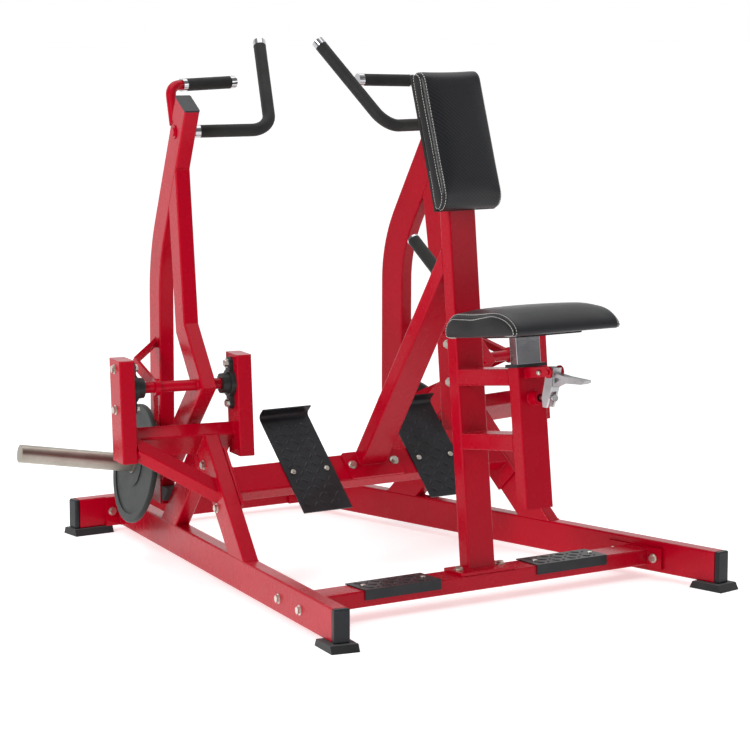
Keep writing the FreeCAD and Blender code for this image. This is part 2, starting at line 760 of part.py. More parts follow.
def build_brace():
    lean = 90 + cell("brace_lean")
    upper = (cell("brace_foot_fore"), cell("brace_foot_high"))
    lower = shifted(upper, 180 + cell("brace_lean"), THIN)
    far = post_far_point()
    post_up = 90 - cell("post_lean")
    outline = [upper, meet(upper, lean, far, post_up), meet(lower, lean, far, post_up),
               meet(lower, lean, upper, 45)]
    tube("diagonal_brace", "YZ_Plane", outline, THIN, DEEP, centre_frame())


def build_grab_handle():
    """Short handle that stands square on the brace's upper face."""
    lean = cell("brace_lean")
    spot = shifted((cell("brace_foot_fore"), cell("brace_foot_high")), 90 + lean,
                   cell("grab_along"))
    frame = centre_frame(0, spot[0], spot[1], X_AXIS, lean - 90)
    length = cell("grab_long")
    rim = 6
    stem = rod("grab_stem", cell("grab_dia"), length - rim / 2, frame)
    tip = rod("grab_tip", cell("grip_dia"), rim, frame * turned(0, 0, length - rim))
    union("grab_handle", [stem, tip])
    ring("grab_handle_grip", cell("grip_dia") - 1, cell("grab_dia"), length - rim * 3,
         frame * turned(0, 0, rim * 2))


# ---------------------------------------------------------------- stands

PIVOT = cell("pivot_high")
CROSS = (cell("cross_axis_fore"), cell("cross_axis_high"))
CROSS_NEAR = (CROSS[0] - (DEEP + THIN) / 2 * sine(45), CROSS[1] + (DEEP - THIN) / 2 * sine(45))
CROSS_LOW = (CROSS[0] + (DEEP - THIN) / 2 * sine(45), CROSS[1] - (DEEP + THIN) / 2 * sine(45))
RAIL_TOP = cell("rail_low") + DEEP


def build_stands():
    lean = 90 - cell("stand_lean")
    posts, crosses, near_legs, rear_legs, struts, bumpers = [], [], [], [], [], []
    half_deep = DEEP / 2 / cosine(cell("stand_lean"))
    lid = 4
    low = cell("stand_low") + lid
    high = cell("stand_high") - lid
    pivot_point = (as_size(0), PIVOT)
    for name, side in SIDES.items():
        for where, x in (("outer", cell("stand_out_in") + THIN / 2),
                         ("inner", cell("stand_in_out") - THIN / 2)):
            near = (pivot_point[0] - half_deep, pivot_point[1])
            far = (pivot_point[0] + half_deep, pivot_point[1])
            ends = [(0, low), (0, high)]
            outline = [meet(near, lean, ends[0], 0), meet(near, lean, ends[1], 0),
                       meet(far, lean, ends[1], 0), meet(far, lean, ends[0], 0)]
            label = f"{name}_{where}_post"
            shell = tube(f"{label}_tube", "YZ_Plane", outline, DEEP, THIN, side_frame(side, x))
            lids = []
            for end, height in (("low", low - lid / 2), ("high", high + lid / 2)):
                y = value((height - PIVOT) * tangent(cell("stand_lean")))
                lids.append(plate(f"{label}_{end}_lid", (THIN, half_deep * 2, lid), 5,
                                  side_frame(side, x, y, height)))
            posts.append(union(label, [shell] + lids))
        span = cell("stand_out_in") - cell("stand_in_out")
        middle = (cell("stand_out_in") + cell("stand_in_out")) / 2
        crosses.append(bar(f"{name}_cross_tube", DEEP, THIN, span,
                           side_frame(side, middle, CROSS[0], CROSS[1], X_AXIS, -45)))
        ground = (as_size(0), RAIL_TOP)
        near_legs.append(tube(f"{name}_near_leg", "YZ_Plane",
                              [CROSS_NEAR, meet(CROSS_NEAR, 225, ground, 0),
                               meet(CROSS_LOW, 225, ground, 0), CROSS_LOW],
                              DEEP, THIN, side_frame(side)))
        start = (cell("rear_leg_fore"), cell("rear_leg_high"))
        other = shifted(start, 45, DEEP)
        plane = meet(CROSS_LOW, 45, start, 135)
        rear_legs.append(tube(f"{name}_rear_leg", "YZ_Plane",
                              [meet(start, -45, plane, 45), meet(start, -45, ground, 0),
                               meet(other, -45, ground, 0), meet(other, -45, plane, 45)],
                              DEEP, THIN, side_frame(side)))
        top = FreeCAD.Vector(side * SIZES["stand_out_in"], SIZES["strut_top_fore"],
                             SIZES["strut_top_high"])
        foot = FreeCAD.Vector(side * THIN.value / 2, SIZES["strut_foot_fore"],
                              SIZES["strut_foot_high"])
        along_strut = aim(top, foot, FreeCAD.Vector(0, 1, 1))
        strut = bar(f"{name}_strut_tube", THIN, THIN, 340,
                    side_frame(side) * along_strut * turned(0, 0, (foot - top).Length / 2)
                    * turned(0, 0, 0, FreeCAD.Vector(0, 1, 0), 90), rounding=4)
        struts.append(minus(f"{name}_stand_strut", strut, [
            side_trim(f"{name}_strut_out_trim", side, cell("stand_out_in"), True),
            side_trim(f"{name}_strut_in_trim", side, THIN / 2, False)]))
        face = cell("arm_fore") - DEEP / 2 - 0.3
        bump_low = cell("bumper_low")
        bump_high = cell("bumper_high")
        rest = other[0] + other[1]
        bumpers.append(prism(f"{name}_bumper", "YZ_Plane",
                             [(rest - bump_low, bump_low), (face, bump_low), (face, bump_high),
                              (rest - bump_high, bump_high)],
                             THIN - 5, side_frame(side, ARM_X)))
    group("stand_posts", posts)
    group("cross_tubes", crosses)
    group("near_legs", near_legs)
    group("rear_legs", rear_legs)
    group("stand_struts", struts)
    group("arm_bumpers", bumpers)


def bearing(label, placement):
    """Two-bolt oval flange bearing; local Z points away from the post."""
    spread = SIZES["bearing_spread"]
    pieces = [rod(f"{label}_disc", 74, 14, placement)]
    for number, sign in enumerate((-1, 1)):
        pieces.append(rod(f"{label}_ear{number}", 32, 12, placement * turned(0, sign * spread, 0)))
    pieces.append(block(f"{label}_web", (30, spread * 2, 12), placement * turned(0, 0, 6)))
    boss = DOC.addObject("Part::Cone", f"{label}_boss")
    for prop, number in (("Radius1", 31), ("Radius2", 27), ("Height", cell("bearing_long"))):
        bind(boss, prop, number)
    boss.Placement = placement
    pieces.append(boss)
    bore = rod(f"{label}_bore", cell("shaft_dia") + 0.2, 40, placement * turned(0, 0, -2))
    return minus(label, union(f"{label}_body", pieces), [bore])


def build_bearings():
    housings = []
    bolts = []
    upright = turned(0, 0, 0, Z_AXIS, 90)
    for name, side in SIDES.items():
        for where, x, outward in (("outer", cell("stand_out_in"), False),
                                  ("inner", cell("stand_in_out"), True)):
            leaning = side_frame(side, x, 0, PIVOT, X_AXIS, -SIZES["stand_lean"])
            housings.append(bearing(f"{name}_{where}_bearing",
                                    leaning * facing(side, outward) * upright))
            head_x = x + THIN if where == "outer" else x - THIN
            spread = SIZES["bearing_spread"]
            for number, offset in enumerate((-spread, spread)):
                frame = side_frame(side, 0, 0, PIVOT, X_AXIS, -SIZES["stand_lean"])
                head = frame * turned(side * head_x.value, 0, offset) * facing(side, not outward)
                bolts.append(hex_bolt(f"{name}_{where}_bolt{number}", head))
                nut_x = x.value + (-12 if where == "outer" else 12)
                nut = frame * turned(side * nut_x, 0, offset) * facing(side, outward)
                bolts.append(hex_bolt(f"{name}_{where}_nut{number}", nut))
    group("flange_bearings", housings)
    group("bearing_bolts", bolts)


# ---------------------------------------------------------------- arms

def draw_round_box(sketch, wide, deep, radius):
    """Rectangle with round corners, centred on the sketch's origin."""
    half_wide = as_size(wide) / 2
    half_deep = as_size(deep) / 2
    radius = as_size(radius)
    ends = []
    for sign_x, sign_y in ((1, -1), (1, 1), (-1, 1), (-1, -1)):
        corner = (half_wide * sign_x, half_deep * sign_y)
        short = (corner[0], corner[1] - radius * sign_y)
        flat = (corner[0] - radius * sign_x, corner[1])
        pair = (flat, short) if sign_x * sign_y < 0 else (short, flat)
        centre = (corner[0] - radius * sign_x, corner[1] - radius * sign_y)
        ends.append((pair, centre, corner))
    rows = []
    for index, (pair, centre, corner) in enumerate(ends):
        start, stop = [FreeCAD.Vector(p[0].value, p[1].value, 0) for p in pair]
        middle = FreeCAD.Vector(centre[0].value, centre[1].value, 0)
        outwards = FreeCAD.Vector(corner[0].value, corner[1].value, 0) - middle
        outwards.normalize()
        arc = sketch.addGeometry(Part.Arc(start, middle + outwards * radius.value, stop))
        following = ends[(index + 1) % 4][0][0]
        line = sketch.addGeometry(Part.LineSegment(
            stop, FreeCAD.Vector(following[0].value, following[1].value, 0)))
        rows.append((arc, line, pair))
    for index, (arc, line, pair) in enumerate(rows):
        following = rows[(index + 1) % 4]
        sketch.addConstraint(Sketcher.Constraint("Coincident", arc, 2, line, 1))
        sketch.addConstraint(Sketcher.Constraint("Coincident", line, 2, following[0], 1))
        for place, point in ((1, pair[0]), (2, pair[1])):
            for kind, number in zip(("DistanceX", "DistanceY"), point):
                row = sketch.addConstraint(
                    Sketcher.Constraint(kind, -1, 1, arc, place, number.value))
                sketch.setExpression(f"Constraints[{row}]", number.text)
        row = sketch.addConstraint(Sketcher.Constraint("Radius", arc, radius.value))
        sketch.setExpression(f"Constraints[{row}]", radius.text)


def bent_tube(label, wide, deep, first, bend, turn, second, placement):
    """Hollow rectangular tube that rises along Z and then bends towards -Y."""
    body = DOC.addObject("PartDesign::Body", label)
    body.Label = label
    first, bend, turn, second = [as_size(number) for number in (first, bend, turn, second)]
    knee = (-(bend - bend * cosine(turn)), first + bend * sine(turn))
    tip = (knee[0] - second * sine(turn), knee[1] + second * cosine(turn))
    points = [(as_size(0), as_size(0)), (as_size(0), first), knee, tip]
    vectors = [FreeCAD.Vector(a.value, b.value, 0) for a, b in points]
    half_turn = math.radians(turn.value / 2)
    middle = FreeCAD.Vector(-(bend.value - bend.value * math.cos(half_turn)),
                            first.value + bend.value * math.sin(half_turn), 0)
    path = new_sketch(body, "YZ_Plane", "Path")
    path.addGeometry(Part.LineSegment(vectors[0], vectors[1]))
    path.addGeometry(Part.Arc(vectors[1], middle, vectors[2]))
    path.addGeometry(Part.LineSegment(vectors[2], vectors[3]))
    path.addConstraint(Sketcher.Constraint("Coincident", 0, 2, 1, 1))
    path.addConstraint(Sketcher.Constraint("Coincident", 1, 2, 2, 1))
    for line, place, point in ((0, 1, points[0]), (0, 2, points[1]), (2, 1, points[2]),
                               (2, 2, points[3])):
        for kind, number in zip(("DistanceX", "DistanceY"), point):
            row = path.addConstraint(Sketcher.Constraint(kind, -1, 1, line, place, number.value))
            path.setExpression(f"Constraints[{row}]", number.text)
    row = path.addConstraint(Sketcher.Constraint("Radius", 1, bend.value))
    path.setExpression(f"Constraints[{row}]", bend.text)
    profile = new_sketch(body, "XY_Plane", "Profile")
    draw_round_box(profile, wide, deep, ROUND)
    draw_round_box(profile, wide - WALL * 2, deep - WALL * 2, ROUND - WALL)
    pipe = body.newObject("PartDesign::AdditivePipe", "Pipe")
    pipe.Profile = profile
    pipe.Spine = path
    body.Placement = placement
    return body


ARM_LEAN = cell("arm_lean")
ARM_BEND = (cell("arm_fore"), cell("arm_bend_high"))


def arm_top_frame(side, up, out=0.0, x=ARM_X):
    """Frame on the leaning part of an arm: `up` from the bend's corner, `out` towards +Y."""
    base = side_frame(side, x, ARM_BEND[0], ARM_BEND[1], X_AXIS, ARM_LEAN)
    return base * turned(0, out, up)


def local_to_world(side, x, y, z):
    """Point of a side frame in the part's own frame."""
    return side_frame(side).multVec(FreeCAD.Vector(side * x, y, z))


def middle_to_world(side, x, y, z):
    return FreeCAD.Vector(side * x, y + SHIFT.value, z)


def bend_placement(start, corner, tip):
    """Placement for bent_bar: X runs from start to corner and the bend goes towards tip."""
    along_first = (corner - start).normalize()
    towards = tip - corner
    across = (towards - along_first * towards.dot(along_first)).normalize()
    rotation = FreeCAD.Rotation(along_first, across, along_first.cross(across), "XYZ")
    return FreeCAD.Placement(start, rotation)


def bend_sizes(start, corner, tip, radius):
    """First run, turn angle and second run of a bar bent at `corner`."""
    first = corner - start
    second = tip - corner
    turn = math.degrees(first.getAngle(second))
    trim = radius * math.tan(math.radians(turn / 2))
    return first.Length - trim, turn, second.Length - trim


def build_arm(name, side):
    trim = cell("arm_bend_round") * tangent(ARM_LEAN / 2)
    upper_run = cell("arm_upper_long") - trim
    shell = bent_tube(f"{name}_arm_shell", THIN, DEEP,
                      ARM_BEND[1] - cell("arm_low") - trim, cell("arm_bend_round"), ARM_LEAN,
                      upper_run, side_frame(side, ARM_X, cell("arm_fore"), cell("arm_low")))
    start, corner, tip = lower_handle_points(side)
    drill = rod(f"{name}_handle_hole", cell("handle_dia"), 120, aim(start, corner))
    boss = side_frame(side, ARM_X + THIN / 2 - 0.5, cell("low_root_fore"),
                      cell("low_root_high")) * facing(side)
    thick = cell("boss_thick")
    wide = cell("boss_dia")
    bossed = union(f"{name}_arm_bossed", [
        shell, rod(f"{name}_boss_rim", wide, thick, boss),
        rod(f"{name}_boss_dome", wide - 14, thick + 3, boss)])
    minus(f"{name}_arm_tube", bossed, [drill])
    plate(f"{name}_arm_end_cap", (THIN, DEEP, 5), 4,
          arm_top_frame(side, cell("arm_upper_long") + 2.5))
    build_arm_brace(name, side)
    build_pivot(name, side)
    build_lower_handle(name, side)
    build_upper_handle(name, side)
    build_horn(name, side)


def build_arm_brace(name, side):
    """Mitred tube from the arm's foot to the pivot, up to the knee and back to the arm."""
    half = cell("arm_brace_deep") / 2
    pivot = (as_size(0), PIVOT)
    knee = (cell("brace_knee_fore"), cell("brace_knee_high"))
    rise = math.degrees(math.atan2(knee[1].value - PIVOT.value, knee[0].value))
    steep = math.degrees(math.atan2(SIZES["brace_top_high"] - knee[1].value,
                                    SIZES["brace_top_fore"] - knee[0].value))
    angles = [180 - SIZES["brace_drop"], rise, steep]
    near_face = (cell("arm_fore") - DEEP / 2, PIVOT)
    lean_face = (ARM_BEND[0] - DEEP / 2 * cosine(ARM_LEAN), ARM_BEND[1] - DEEP / 2 * sine(ARM_LEAN))
    left, right = [], []
    for sign, corners in ((1, left), (-1, right)):
        lines = [shifted(pivot, angles[0] + 90, half * sign), shifted(pivot, angles[1] + 90, half * sign),
                 shifted(knee, angles[2] + 90, half * sign)]
        corners.append(meet(lines[0], angles[0], near_face, 90))
        corners.append(meet(lines[0], angles[0], lines[1], angles[1]))
        corners.append(meet(lines[1], angles[1], lines[2], angles[2]))
        corners.append(meet(lines[2], angles[2], lean_face, 90 + SIZES["arm_lean"]))
    lengths = []
    for index in range(3):
        outline = [left[index], left[index + 1], right[index + 1], right[index]]
        piece = tube(f"{name}_brace_run{index}", "YZ_Plane", outline, cell("arm_brace_deep"), THIN,
                     side_frame(side, ARM_X))
        if index < 2:
            hole = rod(f"{name}_brace_hole{index}", cell("shaft_dia"), 80,
                       side_frame(side, ARM_X - 40, 0, PIVOT) * facing(side))
            piece = minus(f"{name}_brace_part{index}", piece, [hole])
        lengths.append(piece)
    group(f"{name}_arm_brace", lengths)


def build_pivot(name, side):
    x_out = cell("stand_out_in") - 0.5
    x_in = cell("stand_in_out") + 0.5
    rod(f"{name}_pivot_shaft", cell("shaft_dia"), x_out - x_in,
        side_frame(side, x_in, 0, PIVOT) * facing(side))
    outer = ARM_X + THIN / 2
    inner = ARM_X - THIN / 2
    sleeve = rod(f"{name}_sleeve_out", cell("sleeve_dia"), cell("sleeve_end") - outer,
                 side_frame(side, outer, 0, PIVOT) * facing(side))
    stay_out = cell("stay_out")
    hub = rod(f"{name}_sleeve_hub", 46, 14, side_frame(side, stay_out - 7, 0, PIVOT) * facing(side))
    boss = FreeCAD.Vector(side * stay_out.value, 0, PIVOT.value)
    apex = FreeCAD.Vector(side * stay_out.value, SIZES["stay_apex_fore"], SIZES["stay_apex_high"])
    end_out = side * SIZES["stay_end_out"]
    upper = FreeCAD.Vector(end_out, SIZES["stay_top_fore"], SIZES["stay_top_high"])
    lower = FreeCAD.Vector(end_out, SIZES["stay_low_fore"], SIZES["stay_low_high"])
    bars = []
    for number, (tail, head) in enumerate(((boss, apex), (apex, upper), (boss, lower))):
        frame = side_frame(side) * aim(tail, head, FreeCAD.Vector(side, 0, 0.3))
        length = (head - tail).Length
        bars.append(block(f"{name}_stay{number}", (cell("stay_wide"), cell("stay_thick"), length),
                          frame * turned(0, 0, length / 2)))
    web = union(f"{name}_outrigger", [sleeve, hub] + bars)
    bore = rod(f"{name}_sleeve_bore", cell("shaft_dia"), 200,
               side_frame(side, 0, 0, PIVOT) * facing(side))
    trim = side_trim(f"{name}_stay_trim", side, outer, False)
    room = rod(f"{name}_disc_room", cell("disc_dia") + 4, cell("disc_thick") + 2,
               horn_frame(side, cell("disc_gap") - 1))
    outside = minus(f"{name}_sleeve_outside", web, [bore, trim, room])
    gap = inner - cell("stand_in_out") - cell("bearing_long") - 0.4
    inside = ring(f"{name}_sleeve_inside", cell("sleeve_dia"), cell("shaft_dia"), gap,
                  side_frame(side, inner, 0, PIVOT) * facing(side, False))
    group(f"{name}_pivot_sleeve", [outside, inside])


def lower_handle_points(side):
    """Root, corner and tip of the lower handle's centre line."""
    return (
        local_to_world(side, ARM_X.value + THIN.value / 2 - 1, SIZES["low_root_fore"],
                       SIZES["low_root_high"]),
        middle_to_world(side, SIZES["low_turn_out"], SIZES["low_turn_fore"],
                        SIZES["low_turn_high"]),
        middle_to_world(side, SIZES["low_tip_out"], SIZES["low_tip_fore"], SIZES["low_tip_high"]))


def build_lower_handle(name, side):
    """Long bent handle through the arm, with its grip and a chrome ferrule at each end."""
    start, corner, tip = lower_handle_points(side)
    radius = SIZES["handle_round"]
    dia = cell("handle_dia")
    bore = dia - cell("handle_wall") * 2
    ferrule = cell("ferrule_dia")
    rim = SIZES["ferrule_long"]
    cap = SIZES["handle_cap"]
    grip_start = SIZES["grip_start"]
    first, turn, second = bend_sizes(start, corner, tip, radius)
    frame = bend_placement(start, corner, tip)
    bent_bar(f"{name}_lower_handle", first, turn, radius, second - cap, dia, bore, frame)
    bent_bar(f"{name}_lower_grip", first, turn, radius, second - cap, cell("grip_dia"), dia, frame,
             start=grip_start)
    ring(f"{name}_lower_collar", ferrule, dia, rim,
         aim(start, corner) * turned(0, 0, grip_start - rim))
    end = tip - (tip - corner).normalize() * cap
    rod(f"{name}_lower_cap", ferrule, cap, aim(end, tip))


def build_upper_handle(name, side):
    """Short bent handle on the arm's far corner, with a straight grip that points inwards."""
    root = local_to_world(side, ARM_X.value + SIZES["up_root_out"], SIZES["up_root_fore"],
                          SIZES["up_root_high"])
    corner = middle_to_world(side, SIZES["up_turn_out"], SIZES["up_turn_fore"],
                             SIZES["up_turn_high"])
    tip = middle_to_world(side, SIZES["up_tip_out"], SIZES["up_tip_fore"], SIZES["up_tip_high"])
    radius = SIZES["up_round"]
    dia = cell("handle_dia")
    ferrule = cell("ferrule_dia")
    rim = SIZES["ferrule_long"]
    cap = SIZES["handle_cap"]
    first, turn, second = bend_sizes(root, corner, tip, radius)
    frame = bend_placement(root, corner, tip)
    bent = bent_bar(f"{name}_upper_tube", first, turn, radius, second - cap, dia,
                    dia - cell("handle_wall") * 2, frame)
    envelope = block(f"{name}_arm_envelope", (THIN, DEEP, 300),
                     arm_top_frame(side, SIZES["arm_upper_long"] - 150))
    minus(f"{name}_upper_handle", bent, [envelope])
    trim = (tip - corner).Length - second
    inward = aim(corner, tip)
    grip_from = trim + 8 + rim
    ring(f"{name}_upper_collar", ferrule, dia, rim, inward * turned(0, 0, trim + 8))
    ring(f"{name}_upper_grip", cell("grip_dia"), dia, second - cap - 8 - rim,
         inward * turned(0, 0, grip_from))
    rod(f"{name}_upper_cap", ferrule, cap, inward * turned(0, 0, trim + second - cap))
    group(f"{name}_handle_grips", [find_node(f"{name}_{kind}_grip") for kind in ("lower", "upper")])
    group(f"{name}_handle_fittings", [
        find_node(f"{name}_{kind}") for kind in ("lower_collar", "lower_cap", "upper_collar",
                                                 "upper_cap")])


def horn_frame(side, along_axis=0.0):
    """A point of the plate horn's axis, from the arm's outer face; local Z runs outward."""
    tilt = turned(0, 0, 0, FreeCAD.Vector(0, 1, 0), -side * SIZES["horn_tilt"])
    face = side_frame(side, ARM_X + THIN / 2, cell("arm_fore"), cell("horn_high"))
    return face * tilt * facing(side) * turned(0, 0, along_axis)


def build_horn(name, side):
    """Plate horn with its stop collar and foot, and the disc that the plates rest against."""
    face = ARM_X + THIN / 2
    sunk = 20
    axis = horn_frame(side, -sunk)
    collar_dia = cell("horn_collar_dia")
    pieces = [
        rod(f"{name}_horn_bar", cell("horn_dia"), cell("horn_long") + sunk, axis),
        rod(f"{name}_horn_collar", collar_dia, cell("horn_collar_long") + sunk, axis),
        rod(f"{name}_horn_foot", cell("horn_foot_dia"), cell("horn_foot_thick"),
            side_frame(side, face, cell("arm_fore"), cell("horn_high")) * facing(side))]
    minus(f"{name}_weight_horn", union(f"{name}_horn_body", pieces),
          [side_trim(f"{name}_horn_trim", side, face, False)])
    thick = cell("disc_thick")
    frame = horn_frame(side, cell("disc_gap"))
    disc = rod(f"{name}_disc_blank", cell("disc_dia"), thick, frame)
    DOC.recompute()
    rounded = DOC.addObject("Part::Fillet", f"{name}_disc_round")
    rounded.Base = disc
    rounded.Edges = [(index + 1, 6.0, 6.0) for index, edge in enumerate(disc.Shape.Edges)
                     if len(edge.Vertexes) == 1]
    recess = cell("disc_recess")
    tools = [rod(f"{name}_disc_bore", collar_dia + 1, thick + 2, frame * turned(0, 0, -1))]
    for number, depth in enumerate((as_size(0), thick - recess)):
        tools.append(ring(f"{name}_disc_recess{number}", cell("disc_dia") - 50, 130, recess,
                          frame * turned(0, 0, depth)))
    minus(f"{name}_stop_disc", rounded, tools)


# ---------------------------------------------------------------- latch

LATCH = (cell("latch_fore"), cell("latch_high"))


def plunger_frame(out=0.0, up=0.0):
    """Frame on the plunger's axis, from the seat post's user-side face outwards."""
    lean = cell("seat_lean")
    fore = (seat_fore(cell("plunger_high")), cell("plunger_high"))
    near = shifted(fore, 180 - lean, THIN + out)
    near = shifted(near, 90 - lean, as_size(up))
    return centre_frame(0, near[0], near[1], X_AXIS, 90 - SIZES["seat_lean"])


def build_latch():
    """Bracket with its pin, the lever that turns on it, and the plunger that it pulls."""
    lean = cell("seat_lean")
    near = shifted((seat_fore(635), as_size(635)), 180 - lean, THIN)
    up = 90 - lean
    outline = [shifted(near, up, -26), shifted(near, up, 2),
               (LATCH[0] - 4, LATCH[1] + 13), (LATCH[0] - 13, LATCH[1] - 8)]
    thick = cell("cheek_thick")
    cheeks = []
    for name, side in SIDES.items():
        cheeks.append(prism(f"{name}_cheek", "YZ_Plane", outline, thick,
                            centre_frame(cell("cheek_out") * side)))
        eye = centre_frame((cell("cheek_out") - thick / 2) * side, LATCH[0], LATCH[1])
        cheeks.append(rod(f"{name}_cheek_eye", 30, thick, eye * facing(side)))
    dia = cell("plunger_dia")
    pin = rod("latch_pin", dia, 48, centre_frame(-24, LATCH[0], LATCH[1]) * facing(1))
    union("latch_bracket", cheeks + [pin])
    ring("plunger_barrel", 36, 20, 30, plunger_frame())
    body = [(-13, 11), (12, 11), (32, -70), (27, -92), (13, -92), (-9, -30)]
    grip = [(-9, -1), (-9, -38), (-44, -23), (-118, -18), (-133, -13), (-135, -6), (-60, -5)]
    shape = []
    for label, corners, wide in (("lever_body", body, 27), ("lever_grip", grip, 22)):
        outline = [(LATCH[0] + y, LATCH[1] + z) for y, z in corners]
        shape.append(prism(label, "YZ_Plane", outline, wide, centre_frame()))
    hole = rod("lever_hole", dia + 0.4, 60, centre_frame(-30, LATCH[0], LATCH[1]) * facing(1))
    fork = block("lever_fork", (15, 80, 56), centre_frame(0, LATCH[0] + 24, LATCH[1] - 78))
    window = prism("lever_window", "YZ_Plane",
                   [(LATCH[0] + y, LATCH[1] + z) for y, z in ((-16, -11), (-16, -27), (-42, -13))],
                   40, centre_frame())
    minus("latch_lever", union("lever_blank", shape), [hole, fork, window])
    tip = -2.6
    head_from = cell("plunger_head")
    pin = rod("plunger_rod", dia, head_from - tip, plunger_frame(tip))
    head = rod("plunger_head", 18, 6, plunger_frame(head_from))
    union("plunger_pin", [pin, head])


# ---------------------------------------------------------------- fasteners

def build_fasteners():
    bolts = []
    screws = []
    down = turned(0, 0, 0, X_AXIS, 180)
    back = turned(0, 0, 0, X_AXIS, -90)
    tread_top = cell("near_bar_low") + THIN + cell("tread_thick")
    for name, side in SIDES.items():
        for number, y in enumerate((-557, -697)):
            bolts.append(hex_bolt(f"{name}_rail_bolt{number}",
                                  side_frame(side, THIN / 2, y, 58) * facing(side)))
            bolts.append(hex_bolt(f"{name}_rail_nut{number}", side_frame(
                side, -(THIN / 2 + FLANGE), y, 58) * facing(side, False)))
        for number, offset in enumerate((-50, 50)):
            x = (inner_rail_x(FAR_FACE, 0).value + offset) * side
            bolts.append(hex_bolt(f"{name}_bar_bolt{number}",
                                  centre_frame(x, FAR_FACE + THIN, RAIL_MID) * back))
            bolts.append(hex_bolt(f"{name}_bar_nut{number}", centre_frame(
                x, FAR_FACE - FLANGE, RAIL_MID) * turned(0, 0, 0, X_AXIS, 90)))
        bolts.append(hex_bolt(f"{name}_post_bolt", centre_frame(
            cell("post_bolt_out") * side, cell("post_plate_fore"), POST_FOOT_HIGH)))
        bolts.append(hex_bolt(f"{name}_post_nut",
                              centre_frame(cell("post_bolt_out") * side, cell("post_plate_fore"),
                                           cell("near_bar_low")) * down))
        for kind in ("leg_bolt", "leg_low_bolt"):
            bolts.append(hex_bolt(f"{name}_{kind}", side_frame(
                side, THIN / 2, cell(f"{kind}_fore"), cell(f"{kind}_high")) * facing(side)))
        face = (THIN / 2 + cell("brace_plate_thick")) * sine(45)
        bolts.append(hex_bolt(f"{name}_brace_bolt", centre_frame(
            side * 69, cell("foot_axis_fore") - face, cell("foot_axis_high") + face, X_AXIS, 45)))
        for number, x in enumerate((182, 369)):
            screws.append(button_screw(f"{name}_tread_screw{number}", 14, 4,
                                       centre_frame(side * x, cell("post_plate_fore"), tread_top)))
        face = (THIN / 2 + cell("foot_plate_thick")) * sine(45)
        for number, x in enumerate((154, 262)):
            screws.append(button_screw(f"{name}_foot_screw{number}", 16, 5, centre_frame(
                side * x, cell("foot_axis_fore") - face, cell("foot_axis_high") + face,
                X_AXIS, 45)))
        screws.append(button_screw(f"{name}_latch_screw", 14, 6, centre_frame(
            (cell("cheek_out") + cell("cheek_thick") / 2) * side, LATCH[0] + 34,
            LATCH[1] - 5) * facing(side)))
    group("frame_bolts", bolts)
    group("plate_screws", screws)


# ---------------------------------------------------------------- build and write

NODES = [
    "left_rail", "right_rail", "far_crossbar", "near_crossbar", "frame_flanges", "tube_end_caps",
    "rubber_feet", "tread_pads", "base_plates", "chest_post", "seat_rungs", "seat_outer_post",
    "seat_bush", "diagonal_brace", "foot_bar", "foot_plates", "grab_handle", "grab_handle_grip",
    "stand_posts", "cross_tubes", "near_legs", "rear_legs", "stand_struts", "flange_bearings",
    "arm_bumpers", "frame_bolts", "bearing_bolts", "plate_screws", "chest_pad_cushion",
    "chest_pad_board", "latch_bracket", "plunger_barrel", "seat_tube", "seat_board",
    "seat_cushion", "latch_lever", "plunger_pin",
]
ARM_NODES = [
    "arm_tube", "arm_brace", "pivot_shaft", "pivot_sleeve", "upper_handle", "lower_handle",
    "handle_grips", "handle_fittings", "arm_end_cap", "weight_horn", "stop_disc",
]
NODES += [f"{name}_{node}" for name in SIDES for node in ARM_NODES]


def build_all():
    build_rails()
    build_crossbars()
    build_flanges()
    build_caps_and_feet()
    build_treads()
    build_chest_post()
    build_base_plates()
    build_rungs()
    build_seat()
    build_chest_pad()
    build_foot_bar()
    build_brace()
    build_grab_handle()
    build_stands()
    build_bearings()
    for name, side in SIDES.items():
        build_arm(name, side)
    build_latch()
    build_fasteners()


def find_node(label):
    found = [thing for thing in DOC.Objects if thing.Label == label]
    if len(found) != 1:
        raise RuntimeError(f"{label}: {len(found)} objects carry this label")
    return found[0]


def write_parts():
    DOC.recompute()
    failed = [thing.Label for thing in DOC.Objects
              if any(state in thing.State for state in ("Invalid", "Error"))]
    if failed:
        raise RuntimeError(f"failed objects: {failed}")
    os.makedirs("parts", exist_ok=True)
    for label in NODES:
        shape = find_node(label).Shape
        if shape.isNull() or not shape.isValid() or not shape.Solids:
            raise RuntimeError(f"bad shape: {label}")
        shape.exportStep(f"parts/{label}.step")


build_all()
write_parts()
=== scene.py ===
import json
import math

import bmesh
import bpy
from mathutils import Matrix, Vector
from mathutils.bvhtree import BVHTree


